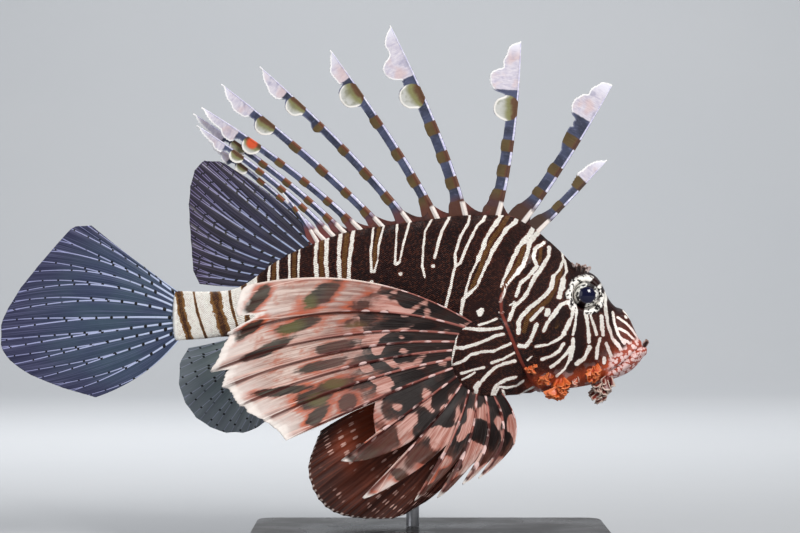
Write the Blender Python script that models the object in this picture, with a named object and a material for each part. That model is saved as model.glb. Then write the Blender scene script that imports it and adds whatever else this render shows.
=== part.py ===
"""A red lionfish, life size, as a still museum model on a plain display stand.

The fish swims level along +X with its right side towards -Y. Z is up, and the origin is the
centre of the underside of the stand's base. Sizes in this file are millimetres, and the meshes
are made in metres.
"""
import math

import bmesh
import bpy
import numpy as np
from mathutils import Vector

MM = 0.001
GAP = 0.3  # left between two pieces that touch

# The stand
BASE_LENGTH, BASE_WIDTH, BASE_HEIGHT, BASE_CORNER, BASE_BEVEL = 164.0, 96.0, 10.0, 9.0, 1.2
ROD_X, ROD_RADIUS = -8.0, 3.0

# The body's side outline as (x, z), from the tail's root to the snout
BACK = [(-117.3, 119.1), (-106, 118.8), (-93.5, 119.3), (-83, 123.7), (-75, 130.1), (-64.5, 136.3),
        (-51.5, 141.9), (-38.5, 146.3), (-20, 149.3), (0, 152.1), (17.5, 154.1), (33.5, 154.1),
        (45, 149.8), (54, 143.1), (61, 136.9), (66, 132.5), (71.5, 130.1), (76, 127.5), (79, 123.5),
        (82, 116.5), (85.5, 112.1), (88.5, 110.9), (91.5, 108.3), (95, 102.5), (98, 97.3), (100.7, 93.7)]
BELLY = [(-117.3, 95.7), (-106, 96.4), (-93.5, 97.5), (-82, 93.9), (-64.5, 87.0), (-41.5, 79.6),
         (-14, 74.0), (9, 71.5), (32, 71.0), (48.5, 72.4), (67, 74.0), (78.5, 76.3), (88, 79.1),
         (94.5, 82.3), (98.4, 85.5), (100.7, 88.3)]
# Height of the widest point, and the half width there
WIDEST = [(-117.3, 107.5), (-92, 108.2), (-46, 109.0), (-4, 106.5), (32, 102.0), (55, 98.5), (74, 97.0),
          (88, 94.0), (100.7, 91.3)]
HALF_WIDTH = [(-117.3, 3.2), (-106, 4.6), (-92, 5.8), (-77, 7.6), (-60, 10), (-37, 13), (-14, 15.8),
              (9, 18.6), (28, 20.4), (42, 20.8), (55, 19.4), (69, 16.6), (78, 14.2), (85.5, 12.2),
              (92.5, 10), (98, 7.6), (100.7, 5.6)]
TAIL_END, SNOUT_END, SNOUT_TIP = -117.3, 100.7, (102.4, 91.1)
TAIL_CUT = -75.0
ROUND_TOP, ROUND_BELOW = 1.9, 2.1  # powers of the oval section
GILL_EDGE = [(60.5, 155.5), (56.5, 146.5), (50, 138.0), (41, 129.5), (34.5, 122.5), (32, 116.0),
             (32.3, 109.0), (36.5, 98.5), (41.1, 87.4), (46.2, 77.7), (54.5, 66.5)]
GILL_FLARE, GILL_FLARE_REACH = 0.9, 7.0
CHEEK_RIDGE = [(58, 82.5), (54, 92.5), (57, 104.5), (63, 110.5)]
MOUTH = [(104.5, 94.1), (99.3, 93.3), (95.2, 91.1), (91.5, 87.9), (87.2, 84.7), (82.5, 82.1)]
MOUTH_DEPTH, MOUTH_HEIGHT, LIP = 1.7, 0.7, 0.8

# The head's own pieces
EYE_X, EYE_Z, EYE_RADIUS, EYE_STANDS_OUT = 72.1, 116.5, 6.2, 2.4
LID_RADIUS, LID_THICK = 6.5, 1.0
BROW_DIP = 1.6  # the hollow between the eyes
NOSTRILS = [(88.5, 106.0), (84.0, 107.5)]
NOSTRIL_RADIUS, NOSTRIL_DEPTH = 0.8, 1.6
# Skin flaps of the head: root (x, z), length, width, lean back in degrees, number of lobes
CIRRI = [(57.0, 76.2, 9.5, 8.5, 14, 4), (61.5, 76.4, 8.5, 6.0, -12, 3), (51.5, 79.2, 7.5, 7.0, 24, 4),
         (77.0, 79.2, 10.5, 9.5, 12, 4), (82.5, 80.4, 10.0, 7.0, -12, 4), (73.5, 82.5, 6.5, 7.5, 18, 3)]
CIRRUS_THICK = 0.7
TENTACLE_X, TENTACLE_LENGTH, TENTACLE_WIDTH = 69.5, 7.5, 2.6
BARBEL = (100.2, 95.7, 5.0, 2.4)

# The fleshy bases of the pectoral fins
LOBE_X, LOBE_Z, LOBE_LONG, LOBE_TALL, LOBE_THICK = 26.5, 88.5, 17.5, 18.5, 4.5
LOBE_Y, LOBE_LEAN = 16.2, 15.0

# Dorsal spines, front to back: x of the root, middle (x, z), tip (x, z), web width, flag width, tip y
SPINES = [
    (47.5, (65.5, 161.5), (81.8, 179.4), 5.5, 6.5, 1.5),
    (41.0, (62.5, 175.0), (84.0, 214.0), 6.5, 13.0, -1.5),
    (30.5, (40.2, 183.5), (42.0, 234.3), 6.5, 13.5, 1.5),
    (17.5, (10.5, 183.5), (-18.5, 241.3), 7.5, 14.0, -2.0),
    (5.5, (-8.5, 179.0), (-46.2, 230.2), 7.5, 12.5, 2.0),
    (-6.5, (-29.5, 179.0), (-78.6, 222.3), 6.5, 10.0, -2.0),
    (-18.5, (-47.5, 177.0), (-96.6, 214.5), 6.0, 10.0, 2.5),
    (-28.5, (-58.5, 175.0), (-105.4, 203.5), 5.5, 9.0, -2.5),
    (-36.0, (-64.5, 172.3), (-109.6, 200.9), 4.5, 6.5, 2.5),
    (-41.5, (-67.5, 169.7), (-107.6, 195.1), 4.5, 5.5, -2.5),
    (-46.0, (-70.0, 166.0), (-102.6, 188.5), 4.0, 4.5, 2.0),
    (-50.0, (-59.0, 154.5), (-68.0, 164.1), 3.0, 3.5, -1.0)]
SPINE_RADIUS, SPINE_TIP_RADIUS, WEB_HALF = 1.1, 0.35, 0.32
SPINE_SINK = 4.5
SPINE_WEB_TOP, SPINE_WEB_NOTCH, SPINE_WEB_HALF = 0.26, 0.5, 0.42

# The other fins. A fin's rays run from its root line to tips given as (x, z)
FIN_HALF, RAY_HALF, RAY_RIDGE = 0.28, 0.75, 0.4
SOFT_DORSAL_ROOT = (-54.0, -83.5)
SOFT_DORSAL_TIPS = [(-89.5, 174.0), (-97.3, 178.7), (-104.2, 179.1), (-108.8, 174.5), (-110.8, 167.3),
                    (-111.5, 159.0), (-111.2, 150.5), (-110.6, 142.5), (-110.0, 135.0), (-109.3, 128.0),
                    (-106.5, 122.1)]
CAUDAL_TIPS = [(-156.5, 149.1), (-163.8, 148.7), (-172.8, 140.1), (-181.4, 130.1), (-189.0, 120.5),
               (-194.6, 111.5), (-198.2, 103.1), (-198.4, 94.3), (-194.0, 86.7), (-184.5, 80.1),
               (-169.6, 74.1), (-154.6, 69.7)]
CAUDAL_ROOT_IN = 5.0
ANAL_ROOT = (-56.5, -86.5)
ANAL_TIPS = [(-70.5, 70.0), (-74.0, 61.0), (-79.5, 56.0), (-86.5, 53.3), (-94.0, 53.3), (-101.5, 55.9),
             (-108.0, 60.3), (-113.0, 67.1), (-116.0, 76.0), (-115.6, 85.1), (-111.6, 92.5)]
# Paired fins: tips as (x, out from the middle plane, z)
PELVIC_ROOT = ((27.0, 6.0), (19.5, 7.0))
PELVIC_TIPS = [(-2.0, 17.0, 23.0), (-18.5, 20.0, 15.3), (-37.0, 22.0, 16.3), (-49.8, 23.0, 22.9),
               (-55.7, 23.0, 38.1), (-51.2, 21.0, 52.9)]
PELVIC_BOW = (-7.0, 6.0)
PECTORAL_ANGLES = (112.0, 292.0)
PECTORAL_TIPS = [(-84.3, 46, 115.9), (-91.0, 50, 99.9), (-98.2, 53, 83.7), (-92.8, 55, 76.3),
                 (-85.4, 56, 68.5), (-74.9, 56, 62.1), (-64.8, 54, 52.9), (-39.8, 50, 44.2),
                 (-30.8, 46, 27.1), (-7.6, 42, 25.3), (2.4, 38, 26.1), (13.8, 35, 31.7),
                 (21.3, 33, 34.5), (26.8, 31, 36.5)]
PECTORAL_BOW = (9.5, -9.5)
PECTORAL_NOTCHES = (0.03, 0.10, 0.13, 0.07, 0.08, 0.10, 0.22, 0.34, 0.34, 0.38, 0.36, 0.34, 0.32)


def hermite(points, at):
    """The smooth curve through points (x, value), read at x. It never overshoots between two points."""
    xs = np.array([p[0] for p in points], float)
    vs = np.array([p[1] for p in points], float)
    slopes = np.diff(vs) / np.diff(xs)
    tangents = np.concatenate([slopes[:1], (slopes[:-1] + slopes[1:]) / 2, slopes[-1:]])
    for i in range(1, len(xs) - 1):
        if slopes[i - 1] * slopes[i] <= 0:
            tangents[i] = 0
        else:
            limit = 3 * min(abs(slopes[i - 1]), abs(slopes[i]))
            tangents[i] = math.copysign(min(abs(tangents[i]), limit), slopes[i])
    at = min(max(at, xs[0]), xs[-1])
    i = min(int(np.searchsorted(xs, at, side="right")) - 1, len(xs) - 2)
    span = xs[i + 1] - xs[i]
    t = (at - xs[i]) / span
    start = (1 + 2 * t) * (1 - t) ** 2 * vs[i] + t * (1 - t) ** 2 * span * tangents[i]
    return start + t * t * (3 - 2 * t) * vs[i + 1] + t * t * (t - 1) * span * tangents[i + 1]


def section(x, grow=0.0):
    """Top, bottom, height of the widest point and half width of the body at x."""
    half = hermite(HALF_WIDTH, x) + grow
    return hermite(BACK, x) + grow, hermite(BELLY, x) - grow, hermite(WIDEST, x), half


def flank(x, z):
    """Half width of the body at x and height z."""
    top, bottom, wide, half = section(x)
    power = ROUND_TOP if z > wide else ROUND_BELOW
    reach = (z - wide) / (top - wide) if z > wide else (wide - z) / (wide - bottom)
    return half * max(1 - abs(reach) ** power, 0.0) ** (1 / power)


def distance_to(line, x, z):
    """How far (x, z) is from a line of points."""
    here = Vector((x, z))
    nearest = 1e9
    for first, last in zip(line, line[1:]):
        start = Vector(first)
        along = Vector(last) - start
        t = min(max((here - start).dot(along) / along.length_squared, 0.0), 1.0)
        nearest = min(nearest, (here - start - along * t).length)
    return nearest


def bump(distance, reach):
    return math.exp(-((distance / reach) ** 2))


def head_relief(x, y, z):
    """How far the skin of the head stands out: gill cover, cheek ridge, lips, orbits and brow."""
    out = GILL_FLARE * bump(distance_to(GILL_EDGE, x, z), GILL_FLARE_REACH)
    out += 0.7 * bump(distance_to(CHEEK_RIDGE, x, z), 2.6)
    out += LIP * bump(distance_to(MOUTH, x, z) - 1.8, 1.4)
    out += 1.3 * bump(math.hypot(x - EYE_X, z - EYE_Z) - LID_RADIUS, 2.4)
    if z > EYE_Z:
        out -= BROW_DIP * bump(y, 3.2) * bump(x - EYE_X, 8.0)
    return out


def new_object(name, points, faces):
    """A mesh object from points in millimetres, its faces turned outwards."""
    mesh = bpy.data.meshes.new(name)
    mesh.from_pydata([tuple(MM * value for value in point) for point in points], [], faces)
    work = bmesh.new()
    work.from_mesh(mesh)
    bmesh.ops.triangulate(work, faces=[face for face in work.faces if len(face.verts) > 3])
    bmesh.ops.recalc_face_normals(work, faces=work.faces)
    work.to_mesh(mesh)
    work.free()
    made = bpy.data.objects.new(name, mesh)
    bpy.context.scene.collection.objects.link(made)
    return made


def remove(made):
    mesh = made.data
    bpy.data.objects.remove(made)
    bpy.data.meshes.remove(mesh)


def keep_largest(mesh):
    """Leaves only the largest closed surface of a mesh."""
    work = bmesh.new()
    work.from_mesh(mesh)
    unseen = set(work.faces)
    shells = []
    while unseen:
        shell = {unseen.pop()}
        edge_of = list(shell)
        while edge_of:
            face = edge_of.pop()
            for edge in face.edges:
                for other in edge.link_faces:
                    if other in unseen:
                        unseen.remove(other)
                        shell.add(other)
                        edge_of.append(other)
        shells.append(shell)
    if len(shells) < 2:
        work.free()
        return
    shells.sort(key=shell_volume)
    spare = [face for shell in shells[:-1] for face in shell]
    bmesh.ops.delete(work, geom=spare, context="FACES")
    work.to_mesh(mesh)
    work.free()


def shell_volume(shell):
    total = 0.0
    for face in shell:
        corners = [vert.co for vert in face.verts]
        for second, third in zip(corners[1:], corners[2:]):
            total += corners[0].dot(second.cross(third))
    return abs(total)


def is_closed(mesh):
    work = bmesh.new()
    work.from_mesh(mesh)
    closed = len(work.faces) > 3 and all(edge.is_manifold for edge in work.edges)
    work.free()
    return closed


def boolean(target, tools, operation):
    """Joins, cuts or crosses target with the tools in one step, applies it and removes the tools.

    The exact solver is used, and the manifold one where that leaves an open or an empty mesh.
    """
    shelf = bpy.data.collections.new("tools")
    bpy.context.scene.collection.children.link(shelf)
    for tool in tools:
        bpy.context.scene.collection.objects.unlink(tool)
        shelf.objects.link(tool)
    step = target.modifiers.new(operation.lower(), "BOOLEAN")
    step.operation = operation
    if len(tools) == 1:
        step.object = tools[0]
    else:
        step.operand_type = "COLLECTION"
        step.collection = shelf
    for solver in ("EXACT", "MANIFOLD"):
        step.solver = solver
        graph = bpy.context.evaluated_depsgraph_get()
        result = bpy.data.meshes.new_from_object(target.evaluated_get(graph))
        keep_largest(result)
        if is_closed(result):
            break
    target.modifiers.clear()
    before = target.data
    target.data = result
    bpy.data.meshes.remove(before)
    for tool in tools:
        remove(tool)
    bpy.data.collections.remove(shelf)
    return target


def loft(name, rings, first_end, last_end):
    """A closed skin over rings of points, drawn to a point at each end."""
    count = len(rings[0])
    points = [point for ring in rings for point in ring]
    faces = []
    for row in range(len(rings) - 1):
        for i in range(count):
            a = row * count + i
            b = row * count + (i + 1) % count
            faces.append((a, b, b + count))
            faces.append((a, b + count, a + count))
    first, last = len(points), len(points) + 1
    points += [first_end, last_end]
    start = (len(rings) - 1) * count
    for i in range(count):
        faces.append((first, (i + 1) % count, i))
        faces.append((last, start + i, start + (i + 1) % count))
    return new_object(name, points, faces)


def body_ring(x, sides, grow=0.0, relief=None):
    """Points round the body's oval section at x."""
    top, bottom, wide, half = section(x, grow)
    ring = []
    for i in range(sides):
        angle = 2 * math.pi * i / sides
        side, up = math.sin(angle), math.cos(angle)
        power = ROUND_TOP if up >= 0 else ROUND_BELOW
        tall = top - wide if up >= 0 else wide - bottom
        y = half * math.copysign(abs(side) ** (2 / power), side)
        z = wide + tall * math.copysign(abs(up) ** (2 / power), up)
        if relief:
            out = Vector((y / half**2, (z - wide) / tall**2)).normalized() * relief(x, y, z)
            y, z = y + out.x, z + out.y
        ring.append((x, y, z))
    return ring


def body_stations(start, end, step):
    count = max(2, math.ceil((end - start) / step) + 1)
    return [start + (end - start) * i / (count - 1) for i in range(count)]


def body(name, start, end, step, sides, grow=0.0, relief=None):
    """The body's skin between two stations. At the snout it ends in the rounded tip."""
    rings = [body_ring(x, sides, grow, relief) for x in body_stations(start, end, step)]
    first = (start, 0.0, section(start)[2])
    last = (end, 0.0, section(end)[2])
    if end >= SNOUT_END:
        last = (SNOUT_TIP[0] + grow, 0.0, SNOUT_TIP[1])
    return loft(name, rings, first, last)


def prism(name, outline, half_width):
    """An outline of (x, z) made solid across the body."""
    count = len(outline)
    points = [(x, -half_width, z) for x, z in outline] + [(x, half_width, z) for x, z in outline]
    faces = [tuple(range(count)), tuple(range(2 * count - 1, count - 1, -1))]
    faces += [(i, (i + 1) % count, (i + 1) % count + count, i + count) for i in range(count)]
    return new_object(name, points, faces)


def ellipsoid(name, centre, sizes, lean=0.0, rows=10, sides=16):
    """A closed oval ball, leaned about X."""
    rings = []
    turn, slope = math.cos(math.radians(lean)), math.sin(math.radians(lean))

    def placed(x, y, z):
        return (centre[0] + x, centre[1] + y * turn - z * slope, centre[2] + y * slope + z * turn)

    for row in range(1, rows):
        tall = math.pi * row / rows
        ring = []
        for i in range(sides):
            angle = 2 * math.pi * i / sides
            spread = math.sin(tall)
            ring.append(placed(sizes[0] * spread * math.cos(angle), sizes[1] * spread * math.sin(angle),
                               sizes[2] * math.cos(tall)))
        rings.append(ring)
    return loft(name, rings, placed(0, 0, sizes[2]), placed(0, 0, -sizes[2]))


def lobe(side, grow=0.0):
    """The fleshy base of one pectoral fin. side is -1 on the right of the fish and 1 on its left."""
    sizes = (LOBE_LONG + grow, LOBE_THICK + grow, LOBE_TALL + grow)
    return ellipsoid("lobe", (LOBE_X, side * LOBE_Y, LOBE_Z), sizes, -side * LOBE_LEAN, 9, 16)


def flesh(grow=GAP):
    """The whole body a gap larger, which trims the root of what grows from it."""
    whole = body("flesh", TAIL_END - grow, SNOUT_END, 6.0, 26, grow)
    return boolean(whole, [lobe(-1, grow), lobe(1, grow)], "UNION")


def trimmed(piece):
    """Cuts a fin back to the body, a gap away from its skin."""
    return boolean(piece, [flesh()], "DIFFERENCE")


def bezier(root, middle, tip, t):
    return root * (1 - t) ** 2 + middle * (2 * t * (1 - t)) + tip * (t * t)


def bowed(root, tip, bow):
    """A ray from root to tip that bows sideways in the fin by bow at its middle."""
    along = tip - root
    side = Vector((along.z, 0.0, -along.x)).normalized()
    return (root, (root + tip) / 2 + side * (2 * bow), tip)


def fan(name, rays, notches, rows, half=FIN_HALF, ridge=RAY_RIDGE, ray_half=RAY_HALF, power=2.0):
    """A thin fin over rays that spread from its root, each ray raised in the fin's own surface.

    Between two rays the rim is cut in by that gap's notch, as a share of the fin's length.
    """
    parts = ("ray", "foot", "middle", "next foot") if ridge else ("ray", "middle")
    columns = [(i, part) for i in range(len(rays) - 1) for part in parts]
    columns.append((len(rays) - 2, "last ray"))
    middle = np.zeros((rows + 1, len(columns), 3))
    for row in range(rows + 1):
        for column, (i, part) in enumerate(columns):
            t = row / rows
            gap = (bezier(*rays[i + 1], t) - bezier(*rays[i], t)).length
            foot = min(max(ray_half / max(gap, 0.01), 0.07), 0.3)
            u = {"ray": 0.0, "foot": foot, "middle": 0.5, "next foot": 1 - foot, "last ray": 1.0}[part]
            reach = t * (1 - notches[i] * (1 - abs(2 * u - 1) ** power))
            middle[row, column] = bezier(*rays[i], reach).lerp(bezier(*rays[i + 1], reach), u)
    normals = np.cross(np.gradient(middle, axis=0), np.gradient(middle, axis=1))
    normals /= np.maximum(np.linalg.norm(normals, axis=2, keepdims=True), 1e-9)
    thick = np.full((rows + 1, len(columns), 1), half)
    for column, (_, part) in enumerate(columns):
        if part.endswith("ray"):
            for row in range(rows + 1):
                thick[row, column] += ridge * (1 - 0.6 * row / rows)
    return sheet(name, middle + normals * thick, middle - normals * thick)


def sheet(name, front, back):
    """A closed thin plate between two grids of points, split into triangles alike on both."""
    rows, columns = front.shape[:2]
    points = [tuple(point) for face in (front, back) for point in face.reshape(-1, 3)]
    other = rows * columns
    faces = []
    for row in range(rows - 1):
        for column in range(columns - 1):
            a = row * columns + column
            b, c, d = a + 1, a + columns + 1, a + columns
            faces += [(a, b, c), (a, c, d)]
            faces += [(c + other, b + other, a + other), (d + other, c + other, a + other)]
    rim = [column for column in range(columns)]
    rim += [row * columns + columns - 1 for row in range(1, rows)]
    rim += [(rows - 1) * columns + column for column in range(columns - 2, -1, -1)]
    rim += [row * columns for row in range(rows - 2, 0, -1)]
    for a, b in zip(rim, rim[1:] + rim[:1]):
        faces += [(b, a, a + other), (b, a + other, b + other)]
    return new_object(name, points, faces)


def shares(count):
    return [i / (count - 1) for i in range(count)]


def mix(first, last, t):
    return first + (last - first) * t


def blade(name, path, radius, tip_radius, width, half):
    """A tapered shaft with a thin web behind it. path(t) gives its line and width(t) the web's."""
    steps = (0, 0.2, 0.4, 0.59, 0.64, 0.675, 0.715, 0.755, 0.8, 0.9, 1.0)
    rings = []
    for t in steps:
        here = path(t)
        along = (path(min(t + 0.02, 1.0)) - path(max(t - 0.02, 0.0))).normalized()
        back = Vector((-along.z, 0.0, along.x)).normalized()
        out = along.cross(back)
        thick = mix(radius, tip_radius, t)
        web = max(width(t), thick * 1.6)
        edge = min(half * 0.85, thick)
        ring = [here - back * thick, here - out * thick * 0.9, here + back * thick - out * half,
                here + back * web - out * edge, here + back * web + out * edge,
                here + back * thick + out * half, here + out * thick * 0.9]
        rings.append([tuple(point) for point in ring])
    first = tuple(sum((Vector(point) for point in rings[0]), Vector()) / len(rings[0]))
    last = tuple(path(1.0) + (path(1.0) - path(0.97)) * 0.3)
    return loft(name, rings, first, last)


def web_width(t, web, flag):
    """Width of a spine's web: a narrow band, a round lobe and the pointed flag at the tip."""
    lobe_wide = 0.35 * web + 0.6 * flag
    outline = [(0.0, web), (0.45, 0.85 * web), (0.59, 0.7 * web), (0.64, lobe_wide), (0.675, lobe_wide),
               (0.715, 0.68 * web), (0.755, flag), (0.80, 0.95 * flag), (0.88, 0.55 * flag), (1.0, 0.0)]
    return hermite(outline, t)


def spine_path(root_x, middle, tip, tip_y):
    """The line of a dorsal spine, from inside the back to its tip."""
    root = Vector((root_x, 0.0, section(root_x)[0] - SPINE_SINK))
    ends = (root, Vector((middle[0], tip_y * 0.3, middle[1])), Vector((tip[0], tip_y, tip[1])))
    return lambda t: bezier(*ends, t)


def spiny_dorsal_fin():
    """Twelve free spines, each with its own web and flag, joined by a low web over the back."""
    paths = [spine_path(root, middle, tip, tip_y) for root, middle, tip, _, _, tip_y in SPINES]
    tops = []
    for path in paths:
        tops.append((path(0.0), path(SPINE_WEB_TOP * 0.5), path(SPINE_WEB_TOP)))
    low_web = fan("spiny_dorsal_fin", tops, [SPINE_WEB_NOTCH] * (len(tops) - 1), 2, SPINE_WEB_HALF, 0.0)
    pieces = []
    for i, (path, (_, _, _, web, flag, _)) in enumerate(zip(paths, SPINES)):
        pieces.append(blade(f"spine {i + 1}", path, SPINE_RADIUS, SPINE_TIP_RADIUS,
                            lambda t, web=web, flag=flag: web_width(t, web, flag), WEB_HALF))
    return trimmed(boolean(low_web, pieces, "UNION"))


def median_fan(name, roots, tips, bows, notch, rows):
    """A fin in the middle plane, its rays spread from the root line to the tips."""
    rays = []
    for root, (x, z), t in zip(roots, tips, shares(len(tips))):
        rays.append(bowed(Vector(root), Vector((x, 0.0, z)), mix(*bows, t)))
    return trimmed(fan(name, rays, [notch] * (len(rays) - 1), rows))


def soft_dorsal_fin():
    roots = []
    for t in shares(len(SOFT_DORSAL_TIPS)):
        x = mix(*SOFT_DORSAL_ROOT, t)
        roots.append((x, 0.0, section(x)[0] - 3.0))
    return median_fan("soft_dorsal_fin", roots, SOFT_DORSAL_TIPS, (-1.5, 0.5), 0.03, 4)


def anal_fin():
    roots = []
    for t in shares(len(ANAL_TIPS)):
        x = mix(*ANAL_ROOT, t)
        roots.append((x, 0.0, section(x)[1] + 3.0))
    return median_fan("anal_fin", roots, ANAL_TIPS, (1.5, -0.5), 0.03, 4)


def caudal_fin():
    """The tail fin, a rounded fan round the end of the tail."""
    top, bottom, _, _ = section(TAIL_END)
    heights = [mix(top - 1.2, bottom + 1.2, t) for t in shares(len(CAUDAL_TIPS))]
    roots = [(TAIL_END + CAUDAL_ROOT_IN, 0.0, z) for z in heights]
    return median_fan("caudal_fin", roots, CAUDAL_TIPS, (-2.5, 2.5), 0.02, 5)


def pelvic_fin(name, side):
    """A pelvic fin, under the belly behind the throat."""
    rays = []
    for (x, out, z), t in zip(PELVIC_TIPS, shares(len(PELVIC_TIPS))):
        root_x = mix(PELVIC_ROOT[0][0], PELVIC_ROOT[1][0], t)
        root_y = mix(PELVIC_ROOT[0][1], PELVIC_ROOT[1][1], t)
        root = Vector((root_x, side * root_y, section(root_x)[1] + 3.5))
        rays.append(bowed(root, Vector((x, side * out, z)), mix(*PELVIC_BOW, t)))
    return trimmed(fan(name, rays, [0.05] * (len(rays) - 1), 6))


def lobe_root(angle, side):
    """A point near the rim of the pectoral fin's fleshy base."""
    turn = math.radians(angle)
    z = LOBE_Z + 0.9 * LOBE_TALL * math.sin(turn)
    lean = math.tan(math.radians(LOBE_LEAN))
    return Vector((LOBE_X + 0.9 * LOBE_LONG * math.cos(turn), side * (LOBE_Y + (z - LOBE_Z) * lean), z))


def pectoral_fin(name, side):
    """A pectoral fin, spread back and down from its base, its lower rays like free fingers."""
    rays = []
    for (x, out, z), t in zip(PECTORAL_TIPS, shares(len(PECTORAL_TIPS))):
        root = lobe_root(mix(*PECTORAL_ANGLES, t), side)
        rays.append(bowed(root, Vector((x, side * out, z)), mix(*PECTORAL_BOW, t)))
    return trimmed(fan(name, rays, PECTORAL_NOTCHES, 6))


def skin_flap(root, length, width, lean, lobes, side):
    """A leafy flap of skin that hangs from the head, lobed at its rim."""
    turn = math.radians(lean)
    rays = []
    for t in shares(lobes):
        spread = (t - 0.5) * width
        reach = length * (1 - 0.35 * (2 * t - 1) ** 2)
        start = root + Vector((spread * 0.45, 0.0, 0.0))
        tip = root + Vector((spread - reach * math.sin(turn), side * reach * 0.45, -reach * math.cos(turn)))
        tip.y += side * 1.2 * math.sin(5.0 * t)
        rays.append((start, (start + tip) / 2 + Vector((0.0, side * 0.8, 0.0)), tip))
    return fan("flap", rays, [0.16] * (lobes - 1), 2, CIRRUS_THICK / 2, 0.0)


def cirri():
    """The flaps under the cheeks and jaw, the tentacles over the eyes and the snout's short ones."""
    flaps = []
    for side in (-1, 1):
        for x, z, length, width, lean, lobes in CIRRI:
            root = Vector((x, side * (flank(x, z) - 1.5), z + 0.8))
            flaps.append(skin_flap(root, length, width, lean, lobes, side))
        top = section(TENTACLE_X)[0]
        root = Vector((TENTACLE_X, side * 5.5, top - 3.5))
        flaps.append(skin_flap(root, -TENTACLE_LENGTH, TENTACLE_WIDTH, 12, 3, -side))
        x, z, length, width = BARBEL
        flaps.append(skin_flap(Vector((x - 1.5, side * 2.4, z - 3.2)), -length, width, -25, 3, -side))
    return flaps


def lid(side):
    """The raised ring of skin round an eye."""
    centre = eye_centre(side)
    face = Vector((0.22, side * 0.93, 0.30)).normalized()
    first = face.cross(Vector((0, 0, 1))).normalized()
    second = face.cross(first)
    seat = centre + face * (EYE_RADIUS * 0.52)
    points, faces, turns, sides = [], [], 16, 4
    for i in range(turns):
        angle = 2 * math.pi * i / turns
        out = first * math.cos(angle) + second * math.sin(angle)
        for j in range(sides):
            round_it = 2 * math.pi * j / sides
            ring = seat + out * (LID_RADIUS - 0.9 + LID_THICK * math.cos(round_it))
            points.append(tuple(ring + face * (LID_THICK * math.sin(round_it))))
            a, b = i * sides + j, i * sides + (j + 1) % sides
            c, d = (b + sides) % (turns * sides), (a + sides) % (turns * sides)
            faces.append((a, b, c, d))
    return new_object("lid", points, faces)


def eye_centre(side):
    return Vector((EYE_X, side * (flank(EYE_X, EYE_Z) + EYE_STANDS_OUT - EYE_RADIUS), EYE_Z))


def eye(name, side):
    return ellipsoid(name, eye_centre(side), (EYE_RADIUS,) * 3, 0.0, 8, 16)


def socket(side):
    return ellipsoid("socket", eye_centre(side), (EYE_RADIUS + GAP + 0.1,) * 3, 0.0, 8, 16)


def mouth_groove():
    """The line of the mouth, as deep all round the snout."""
    half = MOUTH_HEIGHT / 2
    outline = [(x, z + half) for x, z in MOUTH] + [(x, z - half) for x, z in reversed(MOUTH)]
    slab = prism("mouth", outline, 30.0)
    core = body("core", MOUTH[-1][0] - 6.0, SNOUT_END - MOUTH_DEPTH, 5.0, 20, -MOUTH_DEPTH)
    return boolean(slab, [core], "DIFFERENCE")


def nostrils():
    pits = []
    for side in (-1, 1):
        for x, z in NOSTRILS:
            sizes = (NOSTRIL_RADIUS, NOSTRIL_DEPTH, NOSTRIL_RADIUS)
            pits.append(ellipsoid("nostril", (x, side * flank(x, z), z), sizes, 0.0, 4, 6))
    return pits


def region(first_line, second_line, reach=20.0):
    """The space between two lines of (x, z) that cross the body."""
    return prism("region", list(first_line) + list(reversed(second_line)), 40.0)


def head():
    """The head, with its gill covers, mouth, nostrils, lids and skin flaps."""
    made = body("head", min(GILL_EDGE)[0] - 3.0, SNOUT_END, 2.8, 32, 0.0, head_relief)
    front = [(120.0, GILL_EDGE[0][1]), (120.0, GILL_EDGE[-1][1])]
    boolean(made, [region(GILL_EDGE, front)], "INTERSECT")
    boolean(made, [lid(-1), lid(1)] + cirri(), "UNION")
    boolean(made, [mouth_groove()], "DIFFERENCE")
    return boolean(made, [socket(-1), socket(1)] + nostrils(), "DIFFERENCE")


def trunk():
    """The trunk, with the fleshy bases of the pectoral fins."""
    made = body("trunk", TAIL_CUT + GAP, GILL_EDGE[0][0] + 4.0, 6.5, 26)
    boolean(made, [lobe(-1), lobe(1)], "UNION")
    edge = [(x - 1.5 * GAP, z) for x, z in GILL_EDGE]
    rear = [(-90.0, GILL_EDGE[0][1] + 5), (-90.0, GILL_EDGE[-1][1])]
    edge[0] = (edge[0][0], edge[0][1] + 5)
    return boolean(made, [region(rear, edge)], "INTERSECT")


def tail():
    return body("tail", TAIL_END, TAIL_CUT, 4.7, 26)


def stand_base():
    """The base, a flat plate with round corners and a small bevel."""
    work = bmesh.new()
    corners = []
    for cx, cy, start in ((1, 1, 0), (-1, 1, 90), (-1, -1, 180), (1, -1, 270)):
        for step in range(5):
            angle = math.radians(start + 22.5 * step)
            x = cx * (BASE_LENGTH / 2 - BASE_CORNER) + BASE_CORNER * math.cos(angle)
            y = cy * (BASE_WIDTH / 2 - BASE_CORNER) + BASE_CORNER * math.sin(angle)
            corners.append(work.verts.new((x * MM, y * MM, 0.0)))
    bottom = work.faces.new(corners)
    raised = bmesh.ops.extrude_face_region(work, geom=[bottom])["geom"]
    top = [item for item in raised if isinstance(item, bmesh.types.BMVert)]
    bmesh.ops.translate(work, verts=top, vec=(0, 0, BASE_HEIGHT * MM))
    rim = [edge for edge in work.edges if all(vert in top for vert in edge.verts)]
    bmesh.ops.bevel(work, geom=rim, offset=BASE_BEVEL * MM, segments=2, affect="EDGES", profile=0.5)
    bmesh.ops.recalc_face_normals(work, faces=work.faces)
    mesh = bpy.data.meshes.new("stand_base")
    work.to_mesh(mesh)
    work.free()
    made = bpy.data.objects.new("stand_base", mesh)
    bpy.context.scene.collection.objects.link(made)
    return made


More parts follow.
